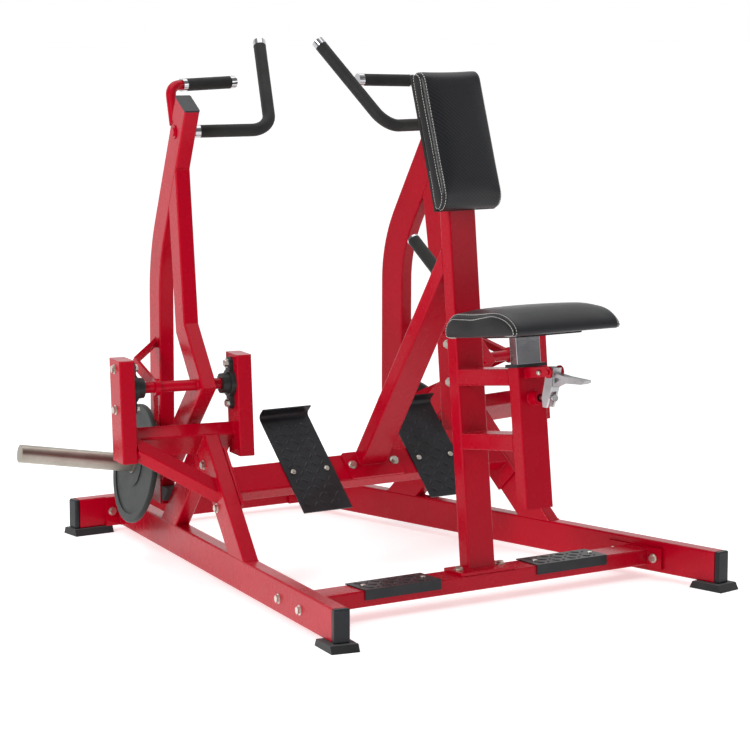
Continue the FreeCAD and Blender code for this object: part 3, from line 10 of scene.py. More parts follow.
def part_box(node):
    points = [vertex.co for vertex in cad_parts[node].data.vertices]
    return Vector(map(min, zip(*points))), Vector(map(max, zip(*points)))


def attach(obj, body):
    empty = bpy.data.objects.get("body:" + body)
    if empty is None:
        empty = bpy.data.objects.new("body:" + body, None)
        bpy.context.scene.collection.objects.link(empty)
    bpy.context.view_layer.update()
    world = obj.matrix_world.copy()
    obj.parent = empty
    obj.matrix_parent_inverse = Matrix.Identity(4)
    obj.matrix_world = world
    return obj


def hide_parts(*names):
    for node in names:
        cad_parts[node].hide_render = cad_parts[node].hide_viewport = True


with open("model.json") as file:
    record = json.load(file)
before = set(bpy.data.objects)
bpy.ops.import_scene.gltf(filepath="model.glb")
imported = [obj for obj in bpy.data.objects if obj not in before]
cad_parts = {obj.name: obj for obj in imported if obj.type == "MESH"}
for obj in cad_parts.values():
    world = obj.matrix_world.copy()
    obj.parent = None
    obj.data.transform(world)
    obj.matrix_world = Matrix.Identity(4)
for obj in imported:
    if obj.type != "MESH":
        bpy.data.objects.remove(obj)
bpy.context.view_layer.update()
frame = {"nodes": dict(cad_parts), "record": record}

NODES = frame["nodes"]
SIDES = ("left", "right")


# ---------------------------------------------------------------- node helpers

def new_material(name):
    """Empty node material with a Principled shader; returns material, nodes, links, shader."""
    material = bpy.data.materials.new(name)
    material.use_nodes = True
    nodes = material.node_tree.nodes
    links = material.node_tree.links
    nodes.clear()
    shader = nodes.new("ShaderNodeBsdfPrincipled")
    output = nodes.new("ShaderNodeOutputMaterial")
    links.new(shader.outputs["BSDF"], output.inputs["Surface"])
    return material, nodes, links, shader


def object_space(nodes, links, scale=(1.0, 1.0, 1.0), turn=0.0):
    """Row-frame coordinates, stretched by `scale` and turned about Z by `turn` degrees."""
    place = nodes.new("ShaderNodeTexCoord")
    mapping = nodes.new("ShaderNodeMapping")
    mapping.inputs["Scale"].default_value = scale
    mapping.inputs["Rotation"].default_value = (0, 0, math.radians(turn))
    links.new(place.outputs["Object"], mapping.inputs["Vector"])
    return mapping.outputs["Vector"]


def noise(nodes, links, vector, scale, detail=3.0, roughness=0.55):
    texture = nodes.new("ShaderNodeTexNoise")
    texture.inputs["Scale"].default_value = scale
    texture.inputs["Detail"].default_value = detail
    texture.inputs["Roughness"].default_value = roughness
    links.new(vector, texture.inputs["Vector"])
    return texture.outputs["Fac"]


def ramp(nodes, links, value, stops):
    """Colour ramp; stops are (position, (r, g, b))."""
    node = nodes.new("ShaderNodeValToRGB")
    elements = node.color_ramp.elements
    while len(elements) < len(stops):
        elements.new(0.5)
    for element, (place, colour) in zip(elements, stops):
        element.position = place
        element.color = (*colour, 1.0)
    links.new(value, node.inputs["Fac"])
    return node.outputs["Color"]


def spread(nodes, links, value, low, high):
    """Maps 0..1 to low..high."""
    node = nodes.new("ShaderNodeMapRange")
    node.inputs["To Min"].default_value = low
    node.inputs["To Max"].default_value = high
    links.new(value, node.inputs["Value"])
    return node.outputs["Result"]


def maths(nodes, links, operation, first, second=None, third=None):
    node = nodes.new("ShaderNodeMath")
    node.operation = operation
    for socket, item in zip(node.inputs, (first, second, third)):
        if item is None:
            continue
        if isinstance(item, (int, float)):
            socket.default_value = item
        else:
            links.new(item, socket)
    return node.outputs["Value"]


def bump(nodes, links, shader, height, strength, distance, normal=None):
    node = nodes.new("ShaderNodeBump")
    node.inputs["Strength"].default_value = strength
    node.inputs["Distance"].default_value = distance
    links.new(height, node.inputs["Height"])
    if normal is not None:
        links.new(normal, node.inputs["Normal"])
    if shader is not None:
        links.new(node.outputs["Normal"], shader.inputs["Normal"])
    return node.outputs["Normal"]


def separate(nodes, links, vector):
    node = nodes.new("ShaderNodeSeparateXYZ")
    links.new(vector, node.inputs["Vector"])
    return node.outputs


# ---------------------------------------------------------------- materials

MM = 0.001


def surface(name, dark, light, rough, metallic=0.0, grain=(300.0, 0.15), stretch=(1, 1, 1)):
    """Mottled surface: two shades, a roughness range and a fine grain in the bump."""
    material, nodes, links, shader = new_material(name)
    space = object_space(nodes, links)
    cloud = noise(nodes, links, space, 14.0, 5.0)
    links.new(ramp(nodes, links, cloud, ((0.3, dark), (0.7, light))), shader.inputs["Base Color"])
    smear = noise(nodes, links, object_space(nodes, links, stretch), 40.0, 5.0)
    links.new(spread(nodes, links, smear, *rough), shader.inputs["Roughness"])
    fine = noise(nodes, links, object_space(nodes, links, stretch), grain[0], 3.0)
    bump(nodes, links, shader, fine, grain[1], 0.5 * MM)
    shader.inputs["Metallic"].default_value = metallic
    return material, nodes, links, shader


def red_paint():
    """Glossy powder red: even colour, faint orange peel, a thin clear coat."""
    material, nodes, links, shader = new_material("red_powder_coat")
    space = object_space(nodes, links)
    cloud = noise(nodes, links, space, 4.0, 4.0)
    colour = ramp(nodes, links, cloud, ((0.3, (0.385, 0.0, 0.011)), (0.7, (0.44, 0.0, 0.014))))
    links.new(colour, shader.inputs["Base Color"])
    smear = noise(nodes, links, space, 18.0, 6.0)
    links.new(spread(nodes, links, smear, 0.18, 0.36), shader.inputs["Roughness"])
    peel = noise(nodes, links, space, 420.0, 2.0)
    wave = noise(nodes, links, space, 45.0, 2.0)
    soft = bump(nodes, links, None, wave, 0.07, 1.2 * MM)
    bump(nodes, links, shader, peel, 0.05, 0.3 * MM, soft)
    shader.inputs["Coat Weight"].default_value = 0.1
    shader.inputs["Coat Roughness"].default_value = 0.08
    shader.inputs["Specular IOR Level"].default_value = 0.12
    return material


def coated(name, dark, light, rough, grain, coat=0.0, sheen=0.0):
    material, _, _, shader = surface(name, dark, light, rough, 0.0, grain)
    shader.inputs["Coat Weight"].default_value = coat
    shader.inputs["Sheen Weight"].default_value = sheen
    shader.inputs["Specular IOR Level"].default_value = 0.25
    return material


def turned_steel(name, dark, light, rough, rings):
    """Bare or plated metal with fine turning or drawing marks along one axis."""
    material, _, _, shader = surface(name, dark, light, rough, 1.0, (90.0, 0.05), rings)
    shader.inputs["Anisotropic"].default_value = 0.35
    return material


def grip_rubber():
    """Foam rubber grip: matt charcoal with a fine open grain and faint wear streaks."""
    material, _, _, shader = surface(
        "grip_foam", (0.012, 0.013, 0.012), (0.022, 0.023, 0.022), (0.5, 0.72), 0.0, (900.0, 0.4))
    shader.inputs["Sheen Weight"].default_value = 0.05
    shader.inputs["Specular IOR Level"].default_value = 0.2
    return material


def vinyl(name, half_across, top):
    """Upholstery vinyl: carbon twill on the main panel, its threads in two tones with painted shade
    darkening each thread towards its low edges and a painted highlight on its crown, smooth leather grain
    on the ends.

    Object axes: X across between the end panels, Y over the crown and Z through the thickness.
    """
    material, nodes, links, shader = new_material(name)
    place = nodes.new("ShaderNodeTexCoord").outputs["Object"]
    across, run, up = separate(nodes, links, place)
    side = maths(nodes, links, "SIGN", run)
    drop = maths(nodes, links, "SUBTRACT", top, up)
    over = maths(nodes, links, "MULTIPLY_ADD", side, drop, run)
    cell = 2.9 * MM
    warp = maths(nodes, links, "DIVIDE", across, cell)
    weft = maths(nodes, links, "DIVIDE", over, cell)
    count = maths(nodes, links, "ADD", maths(nodes, links, "FLOOR", warp),
                  maths(nodes, links, "FLOOR", weft))
    phase = maths(nodes, links, "FLOORED_MODULO", count, 4.0)
    lifted = maths(nodes, links, "LESS_THAN", phase, 1.5)
    warp_arch = maths(nodes, links, "PINGPONG", warp, 0.5)
    weft_arch = maths(nodes, links, "PINGPONG", weft, 0.5)
    arch = nodes.new("ShaderNodeMix")
    links.new(lifted, arch.inputs["Factor"])
    links.new(weft_arch, arch.inputs["A"])
    links.new(warp_arch, arch.inputs["B"])
    height = arch.outputs["Result"]
    inside = maths(nodes, links, "LESS_THAN", maths(nodes, links, "ABSOLUTE", across),
                   half_across)
    # Twill colour: over and under threads in two tones, plus painted shade that darkens each thread
    # towards its low edges and a painted highlight that lightens its crown, following the bump height.
    twill_with_painted_shade = ramp(nodes, links, maths(nodes, links, "MULTIPLY_ADD", lifted, 0.35, height),
                 ((0.05, (0.001, 0.001, 0.0015)), (0.9, (0.022, 0.023, 0.028))))
    grain = noise(nodes, links, place, 700.0, 4.0)
    plain = ramp(nodes, links, grain, ((0.3, (0.006, 0.006, 0.007)), (0.7, (0.012, 0.012, 0.013))))
    mix = nodes.new("ShaderNodeMix")
    mix.data_type = "RGBA"
    links.new(inside, mix.inputs["Factor"])
    links.new(plain, mix.inputs["A"])
    links.new(twill_with_painted_shade, mix.inputs["B"])
    links.new(mix.outputs["Result"], shader.inputs["Base Color"])
    gloss = maths(nodes, links, "MULTIPLY_ADD", lifted, 0.1, 0.3)
    links.new(gloss, shader.inputs["Roughness"])
    relief = maths(nodes, links, "MULTIPLY", height, inside)
    shaped = bump(nodes, links, None, relief, 0.75, 0.7 * MM)
    bump(nodes, links, shader, grain, 0.12, 0.3 * MM, shaped)
    shader.inputs["Specular IOR Level"].default_value = 0.35
    return material


MATERIALS = {
    "red_paint": red_paint(),
    "black_plastic": coated("satin_plastic", (0.010, 0.011, 0.013), (0.02, 0.022, 0.026),
                            (0.3, 0.45), (500.0, 0.25)),
    "black_rubber": coated("moulded_rubber", (0.010, 0.010, 0.011), (0.02, 0.02, 0.021),
                           (0.65, 0.85), (260.0, 0.5), 0.0, 0.2),
    "charcoal_plate": coated("charcoal_coat", (0.009, 0.010, 0.012), (0.018, 0.020, 0.023),
                             (0.34, 0.5), (650.0, 0.45), 0.1),
    "zinc_fasteners": turned_steel("zinc_plating", (0.5, 0.47, 0.4), (0.72, 0.7, 0.66),
                                   (0.22, 0.42), (1, 1, 1)),
    "chrome_fittings": turned_steel("polished_chrome", (0.46, 0.46, 0.48), (0.6, 0.6, 0.62),
                                    (0.05, 0.14), (1, 1, 5)),
    "grip_rubber": grip_rubber(),
    "black_casting": coated("coated_casting", (0.008, 0.009, 0.009), (0.021, 0.022, 0.022),
                            (0.35, 0.6), (160.0, 0.7), 0.15),
    "black_board": coated("painted_board", (0.01, 0.01, 0.01), (0.02, 0.019, 0.018),
                          (0.55, 0.8), (120.0, 0.5)),
    "cast_alloy": turned_steel("cast_alloy", (0.36, 0.36, 0.37), (0.55, 0.55, 0.56),
                               (0.3, 0.48), (1, 1, 1)),
    "bright_steel": turned_steel("turned_steel", (0.5, 0.5, 0.5), (0.66, 0.66, 0.65),
                                 (0.18, 0.32), (6, 1, 1)),
    "horn_steel": turned_steel("horn_plating", (0.30, 0.275, 0.235), (0.44, 0.41, 0.36),
                               (0.26, 0.44), (1, 5, 5)),
    "disc_rubber": coated("disc_rubber", (0.010, 0.014, 0.013), (0.02, 0.025, 0.024),
                          (0.5, 0.72), (320.0, 0.5), 0.0, 0.15),
    "thread": coated("pale_thread", (0.42, 0.41, 0.38), (0.62, 0.61, 0.57), (0.6, 0.8),
                     (2500.0, 0.6)),
}


def paint_nodes():
    slots = {part["node"]: part["material_slot"] for part in frame["record"]["subparts"]}
    for name, thing in NODES.items():
        material = MATERIALS.get(slots.get(name))
        if material is None:
            continue
        for slot in thing.material_slots:
            slot.material = material


paint_nodes()


# ---------------------------------------------------------------- mesh helpers

def body_of(node):
    for body, names in frame["record"]["behaviour"]["bodies"].items():
        if node in names:
            return body
    raise ValueError(node)


def new_object(name, verts, faces, material, matrix=None, smooth=True):
    mesh = bpy.data.meshes.new(name)
    mesh.from_pydata([tuple(vert) for vert in verts], [], faces)
    mesh.update()
    thing = bpy.data.objects.new(name, mesh)
    if matrix is not None:
        thing.matrix_world = matrix
    mesh.materials.append(material)
    for polygon in mesh.polygons:
        polygon.use_smooth = smooth
    bpy.context.collection.objects.link(thing)
    return thing


def add_tube(verts, faces, path, radii, sides, up=Vector((0.13, 0.27, 0.95)), closed=False):
    """Appends a round tube along a path; its two ends are closed with fans."""
    first = len(verts)
    count = len(path)
    for index, point in enumerate(path):
        before = path[index - 1] if index or closed else path[0]
        after = path[(index + 1) % count] if index + 1 < count or closed else path[-1]
        forward = (after - before).normalized()
        across = forward.cross(up).normalized()
        upright = across.cross(forward)
        for step in range(sides):
            angle = math.tau * step / sides
            verts.append(point + (across * math.cos(angle) + upright * math.sin(angle))
                         * radii[index])
    for index in range(count if closed else count - 1):
        for step in range(sides):
            here = first + index * sides
            there = first + (index + 1) % count * sides
            turn = (step + 1) % sides
            faces.append((here + step, here + turn, there + turn, there + step))
    if not closed:
        faces.append(tuple(range(first, first + sides))[::-1])
        last = first + (count - 1) * sides
        faces.append(tuple(range(last, last + sides)))


# ---------------------------------------------------------------- weld beads

BEAD_RADIUS = 2.3 * MM
BEAD_STEP = 2.0 * MM
RIPPLE = 5.0 * MM
SHARP_ANGLE = 0.35
SEARCH_REACH = 1.5 * MM
CONTACT_GAP = 0.7 * MM
SHORTEST_BEAD = 12 * MM
SAME_JOINT = 5 * MM
PARTS = {}


def loose_parts(node):
    """A CAD node's solids in the row frame: (sharp edges, search tree) of each."""
    if node not in PARTS:
        PARTS[node] = split_solids(node)
    return PARTS[node]


def split_solids(node):
    """Parts one CAD mesh into its separate solids, with the edges that are sharp."""
    mesh = bmesh.new()
    mesh.from_mesh(NODES[node].data)
    mesh.transform(NODES[node].matrix_world)
    bmesh.ops.remove_doubles(mesh, verts=mesh.verts, dist=0.02 * MM)
    mesh.verts.index_update()
    group = [-1] * len(mesh.verts)
    parts = []
    for seed in mesh.verts:
        if group[seed.index] >= 0:
            continue
        queue = [seed]
        group[seed.index] = len(parts)
        found = set()
        while queue:
            vert = queue.pop()
            for edge in vert.link_edges:
                found.add(edge)
                other = edge.other_vert(vert)
                if group[other.index] < 0:
                    group[other.index] = len(parts)
                    queue.append(other)
        parts.append(found)
    result = []
    for edges in parts:
        faces = {face for edge in edges for face in edge.link_faces}
        sharp = [(edge.verts[0].co.copy(), edge.verts[1].co.copy()) for edge in edges
                 if len(edge.link_faces) == 2 and edge.calc_face_angle(0.0) > SHARP_ANGLE]
        corners = sorted({vert.index for face in faces for vert in face.verts})
        order = {index: number for number, index in enumerate(corners)}
        mesh.verts.ensure_lookup_table()
        tree = BVHTree.FromPolygons([mesh.verts[index].co.copy() for index in corners],
                                    [[order[vert.index] for vert in face.verts]
                                     for face in faces])
        result.append((sharp, tree))
    mesh.free()
    return result


def chains(edges):
    """Joins edges that share end points into polylines; returns (points, closed)."""
    links = {}
    spots = {}

    def key(point):
        return tuple(round(value / (0.05 * MM)) for value in point)

    for start, end in edges:
        for one, two in ((start, end), (end, start)):
            spots[key(one)] = one
            links.setdefault(key(one), set()).add(key(two))
    seen = set()
    result = []
    ends = sorted(spot for spot in links if len(links[spot]) != 2) + sorted(links)
    for first in ends:
        for second in sorted(links[first]):
            if (first, second) in seen:
                continue
            line = [first, second]
            seen.update({(first, second), (second, first)})
            while len(links[line[-1]]) == 2 and line[-1] != line[0]:
                following = [spot for spot in links[line[-1]] if spot != line[-2]]
                if not following or (line[-1], following[0]) in seen:
                    break
                seen.update({(line[-1], following[0]), (following[0], line[-1])})
                line.append(following[0])
            closed = line[0] == line[-1]
            result.append(([spots[spot] for spot in (line[:-1] if closed else line)], closed))
    return result


def resample(points, closed, step):
    """Points about one step apart along a polyline."""
    loop = points + [points[0]] if closed else points
    path = [loop[0].copy()]
    for start, end in zip(loop, loop[1:]):
        parts = max(1, round((end - start).length / step))
        for number in range(1, parts + 1):
            path.append(start.lerp(end, number / parts))
    return path[:-1] if closed else path


def path_length(points):
    return sum((end - start).length for start, end in zip(points, points[1:]))


def touching(first, second):
    """Chains of the first solid's sharp edges that lie on the second solid's surface."""
    sharp = first[0]
    tree = second[1]
    close = []
    for start, end in sharp:
        middle = (start + end) / 2
        near = [tree.find_nearest(point, SEARCH_REACH) for point in (start, middle, end)]
        if all(hit[0] is not None and hit[3] < CONTACT_GAP for hit in near):
            close.append((start, end))
    found = sorted(chains(close), key=lambda item: -path_length(item[0]))
    kept = []
    for points, closed in found:
        centre = sum(points, Vector()) / len(points)
        long = path_length(points)
        inner = any((centre - other).length < SAME_JOINT and long < 0.98 * length
                    for other, length in kept)
        if inner or long < SHORTEST_BEAD:
            continue
        kept.append((centre, long))
        yield points, closed


def add_beads(name, pairs, body):
    """Rippled weld beads along the joints between pairs of CAD nodes, in the paint."""
    verts, faces = [], []
    for one, two in pairs:
        ones = loose_parts(one)
        twos = ones if one == two else loose_parts(two)
        for number, first in enumerate(ones):
            for other_number, second in enumerate(twos):
                if one == two and other_number <= number:
                    continue
                for points, closed in touching(first, second):
                    path = resample(points, closed, BEAD_STEP)
                    if len(path) < 4:
                        continue
                    radii = [BEAD_RADIUS * (0.86 + 0.22 * abs(math.sin(
                        math.pi * index * BEAD_STEP / RIPPLE))) for index in range(len(path))]
                    add_tube(verts, faces, path, radii, 7, closed=closed)
    if not verts:
        return
    beads = new_object(name, verts, faces, MATERIALS["red_paint"])
    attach(beads, body)


FRAME_JOINTS = [
    ("near_legs", "cross_tubes"), ("rear_legs", "near_legs"), ("rear_legs", "cross_tubes"),
    ("cross_tubes", "stand_posts"), ("stand_struts", "stand_posts"), ("stand_struts", "near_legs"),
    ("near_legs", "left_rail"), ("near_legs", "right_rail"), ("rear_legs", "left_rail"),
    ("rear_legs", "right_rail"), ("diagonal_brace", "base_plates"),
    ("diagonal_brace", "chest_post"), ("chest_post", "base_plates"), ("seat_rungs", "chest_post"),
    ("seat_rungs", "seat_outer_post"), ("foot_bar", "frame_flanges"),
    ("near_crossbar", "frame_flanges"), ("left_rail", "frame_flanges"),
    ("right_rail", "frame_flanges"), ("plunger_barrel", "seat_outer_post"),
    ("latch_bracket", "seat_outer_post"),
]
add_beads("frame_weld_beads", FRAME_JOINTS, "frame")
for side_name in SIDES:
    arm = f"{side_name}_arm"
    add_beads(f"{arm}_weld_beads", [
        (f"{arm}_brace", f"{arm}_tube"), (f"{arm}_brace", f"{arm}_brace"),
        (f"{side_name}_pivot_sleeve", f"{arm}_brace"), (f"{side_name}_pivot_sleeve", f"{arm}_tube"),
        (f"{side_name}_upper_handle", f"{arm}_tube")], arm)


# ---------------------------------------------------------------- raised treads

LUG_PITCH = 26 * MM
LUG_LONG = 25 * MM
LUG_WIDE = 7.5 * MM
LUG_HIGH = 1.7 * MM
SCREW_ROOM = 15 * MM
TREAD_INNER = 156 * MM
TREAD_SCREW = 94 * MM
FOOT_PANEL = (138 * MM, 290 * MM)
FOOT_SCREW = 54 * MM
SCREW_DROP = 20 * MM
FRAME_SHIFT = 0.164
FOOT_AXIS = (-0.116 + FRAME_SHIFT, 0.2735)


def plane_frame(origin, across, up):
    """Matrix whose X is `across`, Y is `up` and Z is the face's outward normal."""
    across = Vector(across).normalized()
    up = Vector(up).normalized()
    normal = across.cross(up)
    return Matrix.Translation(origin) @ Matrix((across, up, normal)).transposed().to_4x4()


def add_lug(verts, faces, centre, angle, long, wide, high):
    """One raised bar of a chequer plate: a lens in plan with a rounded top."""
    first = len(verts)
    steps = 8
    turn = Matrix.Rotation(angle, 2)
    for level, (size, lift) in enumerate(((1.0, -0.2), (0.86, 0.7), (0.55, 1.0))):
        for step in range(steps * 2):
            share = math.tau * step / (steps * 2)
            lens = abs(math.sin(share)) ** 1.3 * math.copysign(1, math.sin(share))
            spot = turn @ Vector((math.cos(share) * long / 2 * size, lens * wide / 2 * size))
            verts.append(Vector((centre[0] + spot.x, centre[1] + spot.y, lift * high)))
        if level:
            low = first + (level - 1) * steps * 2
            here = first + level * steps * 2
            for step in range(steps * 2):
                turn_step = (step + 1) % (steps * 2)
                faces.append((low + step, low + turn_step, here + turn_step, here + step))
    faces.append(tuple(range(first + steps * 4, first + steps * 6)))


def add_chequer(name, panels, body="frame"):
    """Chequer-plate bars over flat panels: (matrix, width, height, screws to stay clear of)."""
    verts, faces = [], []
    for matrix, wide, tall, screws in panels:
        patch_verts, patch_faces = [], []
        columns = int(wide / LUG_PITCH)
        rows = int(tall / LUG_PITCH)
        for column in range(columns):
            for row in range(rows):
                x = (column - (columns - 1) / 2) * LUG_PITCH
                y = (row - (rows - 1) / 2) * LUG_PITCH
                if any(math.dist((x, y), screw) < SCREW_ROOM for screw in screws):
                    continue
                angle = math.radians(45 if (column + row) % 2 else -45)
                add_lug(patch_verts, patch_faces, (x, y), angle, LUG_LONG, LUG_WIDE,
                        LUG_HIGH)
        offset = len(verts)
        verts += [matrix @ vert for vert in patch_verts]
        faces += [tuple(index + offset for index in face) for face in patch_faces]
    lugs = new_object(name, verts, faces, MATERIALS["charcoal_plate"])
    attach(lugs, body)


def top_panel(tree, x_low, x_high, y_low, y_high):
    """Flat panel straight up from a height found on the CAD surface."""
    spot = Vector(((x_low + x_high) / 2, (y_low + y_high) / 2 + 0.01, 1.0))
    hit = tree.ray_cast(spot, Vector((0, 0, -1)))
    origin = Vector(((x_low + x_high) / 2, (y_low + y_high) / 2, hit[0].z))
    return plane_frame(origin, (1, 0, 0), (0, 1, 0))


def build_tread_bars():
    """Bars over the two treads that lie on the near crossbar."""
    low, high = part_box("tread_pads")
    tree = loose_parts("tread_pads")[0][1]
    other = loose_parts("tread_pads")[1][1]
    panels = []
    for sign in (-1, 1):
        x_low, x_high = sorted((sign * TREAD_INNER, sign * high[0]))
        spot = Vector(((x_low + x_high) / 2, (low[1] + high[1]) / 2, 1.0))
        use = tree if tree.ray_cast(spot, Vector((0, 0, -1)))[0] is not None else other
        panels.append((top_panel(use, x_low, x_high, low[1], high[1]), x_high - x_low - 12 * MM,
                       high[1] - low[1] - 8 * MM, [(-TREAD_SCREW, 0), (TREAD_SCREW, 0)]))
    add_chequer("tread_bars", panels)


def build_foot_bars():
    """Bars over the foot plates, which slope at 45 degrees."""
    slope = math.radians(45)
    down = Vector((0, -math.cos(slope), -math.sin(slope)))
    outward = Vector((0, -math.sin(slope), math.cos(slope)))
    panels = []
    for sharp, tree in loose_parts("foot_plates"):
        centre_x = sum(edge[0].x for edge in sharp) / len(sharp)
        axis = Vector((centre_x, FOOT_AXIS[0], FOOT_AXIS[1]))
        face = tree.ray_cast(axis + outward * 0.2, -outward)[0]
        matrix = plane_frame(face - down * SCREW_DROP, (1, 0, 0), -down)
        panels.append((matrix, *FOOT_PANEL,
                       [(-FOOT_SCREW, -SCREW_DROP), (FOOT_SCREW, -SCREW_DROP)]))
    add_chequer("foot_plate_bars", panels)


build_tread_bars()
build_foot_bars()


# ---------------------------------------------------------------- cushions

class Cushion:
    """One padded piece: a D-shaped section across Y and Z, carried along X.

    The frame's X runs between the two end panels, Z is the way it bulges and its origin lies
    in the middle of the flat underside.
    """

    seam_inset = 9 * MM
    stitch_offset = 3.8 * MM
    groove_wide = 2.4 * MM
    groove_deep = 1.2 * MM
    row_wide = 1.6 * MM
    row_deep = 0.4 * MM
    flat_room = 3 * MM
    draw_in = 2.5 * MM
    crown_rest = 0.55
    voxel = 5 * MM
    board_pins = 4 * MM
    relax_rounds = 5
    spread_rounds = 30
    sweep_start = -12
    sweep = 204
    sweep_steps = 720

    def __init__(self, node, matrix, wide, long, deep, corners, swell, sag):
        self.node = node
        self.matrix = matrix
        self.half_wide = wide / 2
        self.half_long = long / 2
        self.deep = deep
        self.corners = corners
        self.swell = swell
        self.sag = sag

    def section(self, inset):
        """Closed section in Y and Z, `inset` inside the full size."""
        half = self.half_long - inset
        top = self.deep - inset * 1.4
        bottom = inset * 0.3
        low_round = 9 * MM
        points = []
        for sign, (along, down) in zip((1, -1), self.corners):
            for step in range(13):
                angle = math.radians(90 * (step if sign > 0 else 12 - step) / 12)
                points.append((sign * (half - along + along * math.cos(angle)),
                               top - down + down * math.sin(angle)))
        for centre, start in ((-half + low_round, 180), (half - low_round, 270)):
            for step in range(5):
                angle = math.radians(start + 90 * step / 4)
                points.append((centre + low_round * math.cos(angle),
                               bottom + low_round + low_round * math.sin(angle)))
        return points

    def blank(self):
        """The closed form before it is filled: narrower at its ends, with rounded end edges."""
        edge = 9 * MM
        ends = [(-self.half_wide + edge * (1 - math.cos(math.radians(a))) + 2 * MM,
                 edge * (1 - math.sin(math.radians(a)))) for a in (0, 22, 45, 67, 90)]
        middle = [(-self.half_wide + edge + 2 * MM + step * (self.half_wide - edge) / 8, 0.0)
                  for step in range(1, 8)]
        run = ends + middle
        run = run + [(0.0, 0.0)] + [(-x, inset) for x, inset in reversed(run)]
        verts, faces = [], []
        count = len(self.section(0.0))
        for x, inset in run:
            verts += [Vector((x, y, z)) for y, z in self.section(inset + 2 * MM)]
        for index in range(len(run) - 1):
            for step in range(count):
                turn = (step + 1) % count
                low = index * count
                high = low + count
                faces.append((low + step, high + step, high + turn, low + turn))
        faces.append(tuple(range(count)))
        faces.append(tuple(range((len(run) - 1) * count, len(run) * count))[::-1])
        return verts, faces

    def build(self):
        name = f"{self.node}_padded"
        verts, faces = self.blank()
        material = vinyl(f"{name}_vinyl", self.half_wide - self.seam_inset, self.deep)
        thing = new_object(name, verts, faces, material, self.matrix)
        remesh = thing.modifiers.new("Remesh", "REMESH")
        remesh.mode = "VOXEL"
        remesh.voxel_size = self.voxel
        remesh.use_smooth_shade = True
        apply_modifier(thing, remesh)
        thing.data.materials.clear()
        thing.data.materials.append(material)
        rest = [vert.co.copy() for vert in thing.data.vertices]
        self.fill(thing, rest)
        relax = thing.modifiers.new("Relax", "SMOOTH")
        relax.factor = 0.5
        relax.iterations = self.relax_rounds
        apply_modifier(thing, relax)
        self.shape(thing)
        smooth = thing.modifiers.new("Smooth", "SUBSURF")
        smooth.levels = smooth.render_levels = 1
        apply_modifier(thing, smooth)
        self.press_seams(thing)
        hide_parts(self.node)
        self.stitch(thing)
        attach(thing, body_of(self.node))

    def fill(self, thing, rest):
        """Foam pressure pushes the cover out; no point moves further than the cap."""
        pins = thing.vertex_groups.new(name="board")
        pins.add([index for index, point in enumerate(rest) if point.z < self.board_pins], 1.0, "REPLACE")
        cloth = thing.modifiers.new("Cloth", "CLOTH")
        settings = cloth.settings
        settings.quality = 5
        settings.mass = 0.3
        settings.tension_stiffness = 25
        settings.compression_stiffness = 25
        settings.bending_stiffness = 2.0
        settings.use_pressure = True
        settings.uniform_pressure_force = 4.0
        settings.vertex_group_mass = "board"
        settings.effector_weights.gravity = 0.0
        cloth.collision_settings.use_collision = False
        cloth.point_cache.frame_start = 1
        cloth.point_cache.frame_end = 20
        scene = bpy.context.scene
        for number in range(1, 21):
            scene.frame_set(number)
        graph = bpy.context.evaluated_depsgraph_get()
        moved = [vert.co.copy() for vert in thing.evaluated_get(graph).data.vertices]
        thing.modifiers.remove(cloth)
        scene.frame_set(1)
        shifts = []
        for start, end in zip(rest, moved):
            shift = end - start
            if shift.length > self.swell:
                shift *= self.swell / shift.length
            shifts.append(shift)
        evened = spread_out(thing, shifts, self.spread_rounds)
        for vert, start, shift in zip(thing.data.vertices, rest, evened):
            vert.co = start + shift

    def shape(self, thing):
        """Keeps the form inside its room: soft crown, sides drawn in between the corners."""
        limit = (self.half_wide, self.half_long, self.deep)
        for vert in thing.data.vertices:
            x, y, z = vert.co
            along_x = min(1.0, abs(x) / limit[0])
            along_y = min(1.0, abs(y) / limit[1])
            crown = (1 - along_x ** 2) * (1 - along_y ** 2)
            lift = max(0.0, z / limit[2])
            z += self.sag * (crown - self.crown_rest) * lift
            pull = self.draw_in * lift * (1 - lift)
            x -= math.copysign(pull * (1 - along_y ** 2) * along_x ** 6, x)
            y -= math.copysign(pull * (1 - along_x ** 2) * along_y ** 6, y)
            vert.co = (max(-limit[0], min(limit[0], x)), max(-limit[1], min(limit[1], y)),
                       max(0.0, z))

    def press_seams(self, thing):
        """Sewn groove between the two rows of stitches, all round each end panel."""
        spot = self.half_wide - self.seam_inset
        for vert in thing.data.vertices:
            if vert.co.z < self.flat_room:
                continue
            gap = abs(vert.co.x) - spot
            groove = math.exp(-(gap / self.groove_wide) ** 2)
            rows = sum(math.exp(-((gap - row) / self.row_wide) ** 2)
                       for row in (-self.stitch_offset, self.stitch_offset))
            vert.co -= vert.normal * (self.groove_deep * groove + self.row_deep * rows)

    def stitch(self, thing):
        """Pale thread: short stitches laid in two rows beside each seam."""
        mesh = thing.data
        tree = BVHTree.FromPolygons([vert.co.copy() for vert in mesh.vertices],
                                    [list(polygon.vertices) for polygon in mesh.polygons])
        verts, faces = [], []
        seam = self.half_wide - self.seam_inset
        pivot = self.deep * 0.35
        for sign in (-1, 1):
            for row in (-self.stitch_offset, self.stitch_offset):
                x = sign * (seam + row)
                outline = []
                for step in range(self.sweep_steps + 1):
                    angle = math.radians(self.sweep_start + self.sweep * step / self.sweep_steps)
                    ray = Vector((0, math.cos(angle), math.sin(angle)))
                    start = Vector((x, 0, pivot)) + ray * 0.5
                    hit = tree.ray_cast(start, -ray)
                    if hit[0] is not None:
                        outline.append(hit[0] + hit[1] * 0.25 * MM)
                self.lay_row(outline, verts, faces)
        thread = new_object(f"{self.node}_stitching", verts, faces, MATERIALS["thread"],
                            self.matrix)
        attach(thread, body_of(self.node))

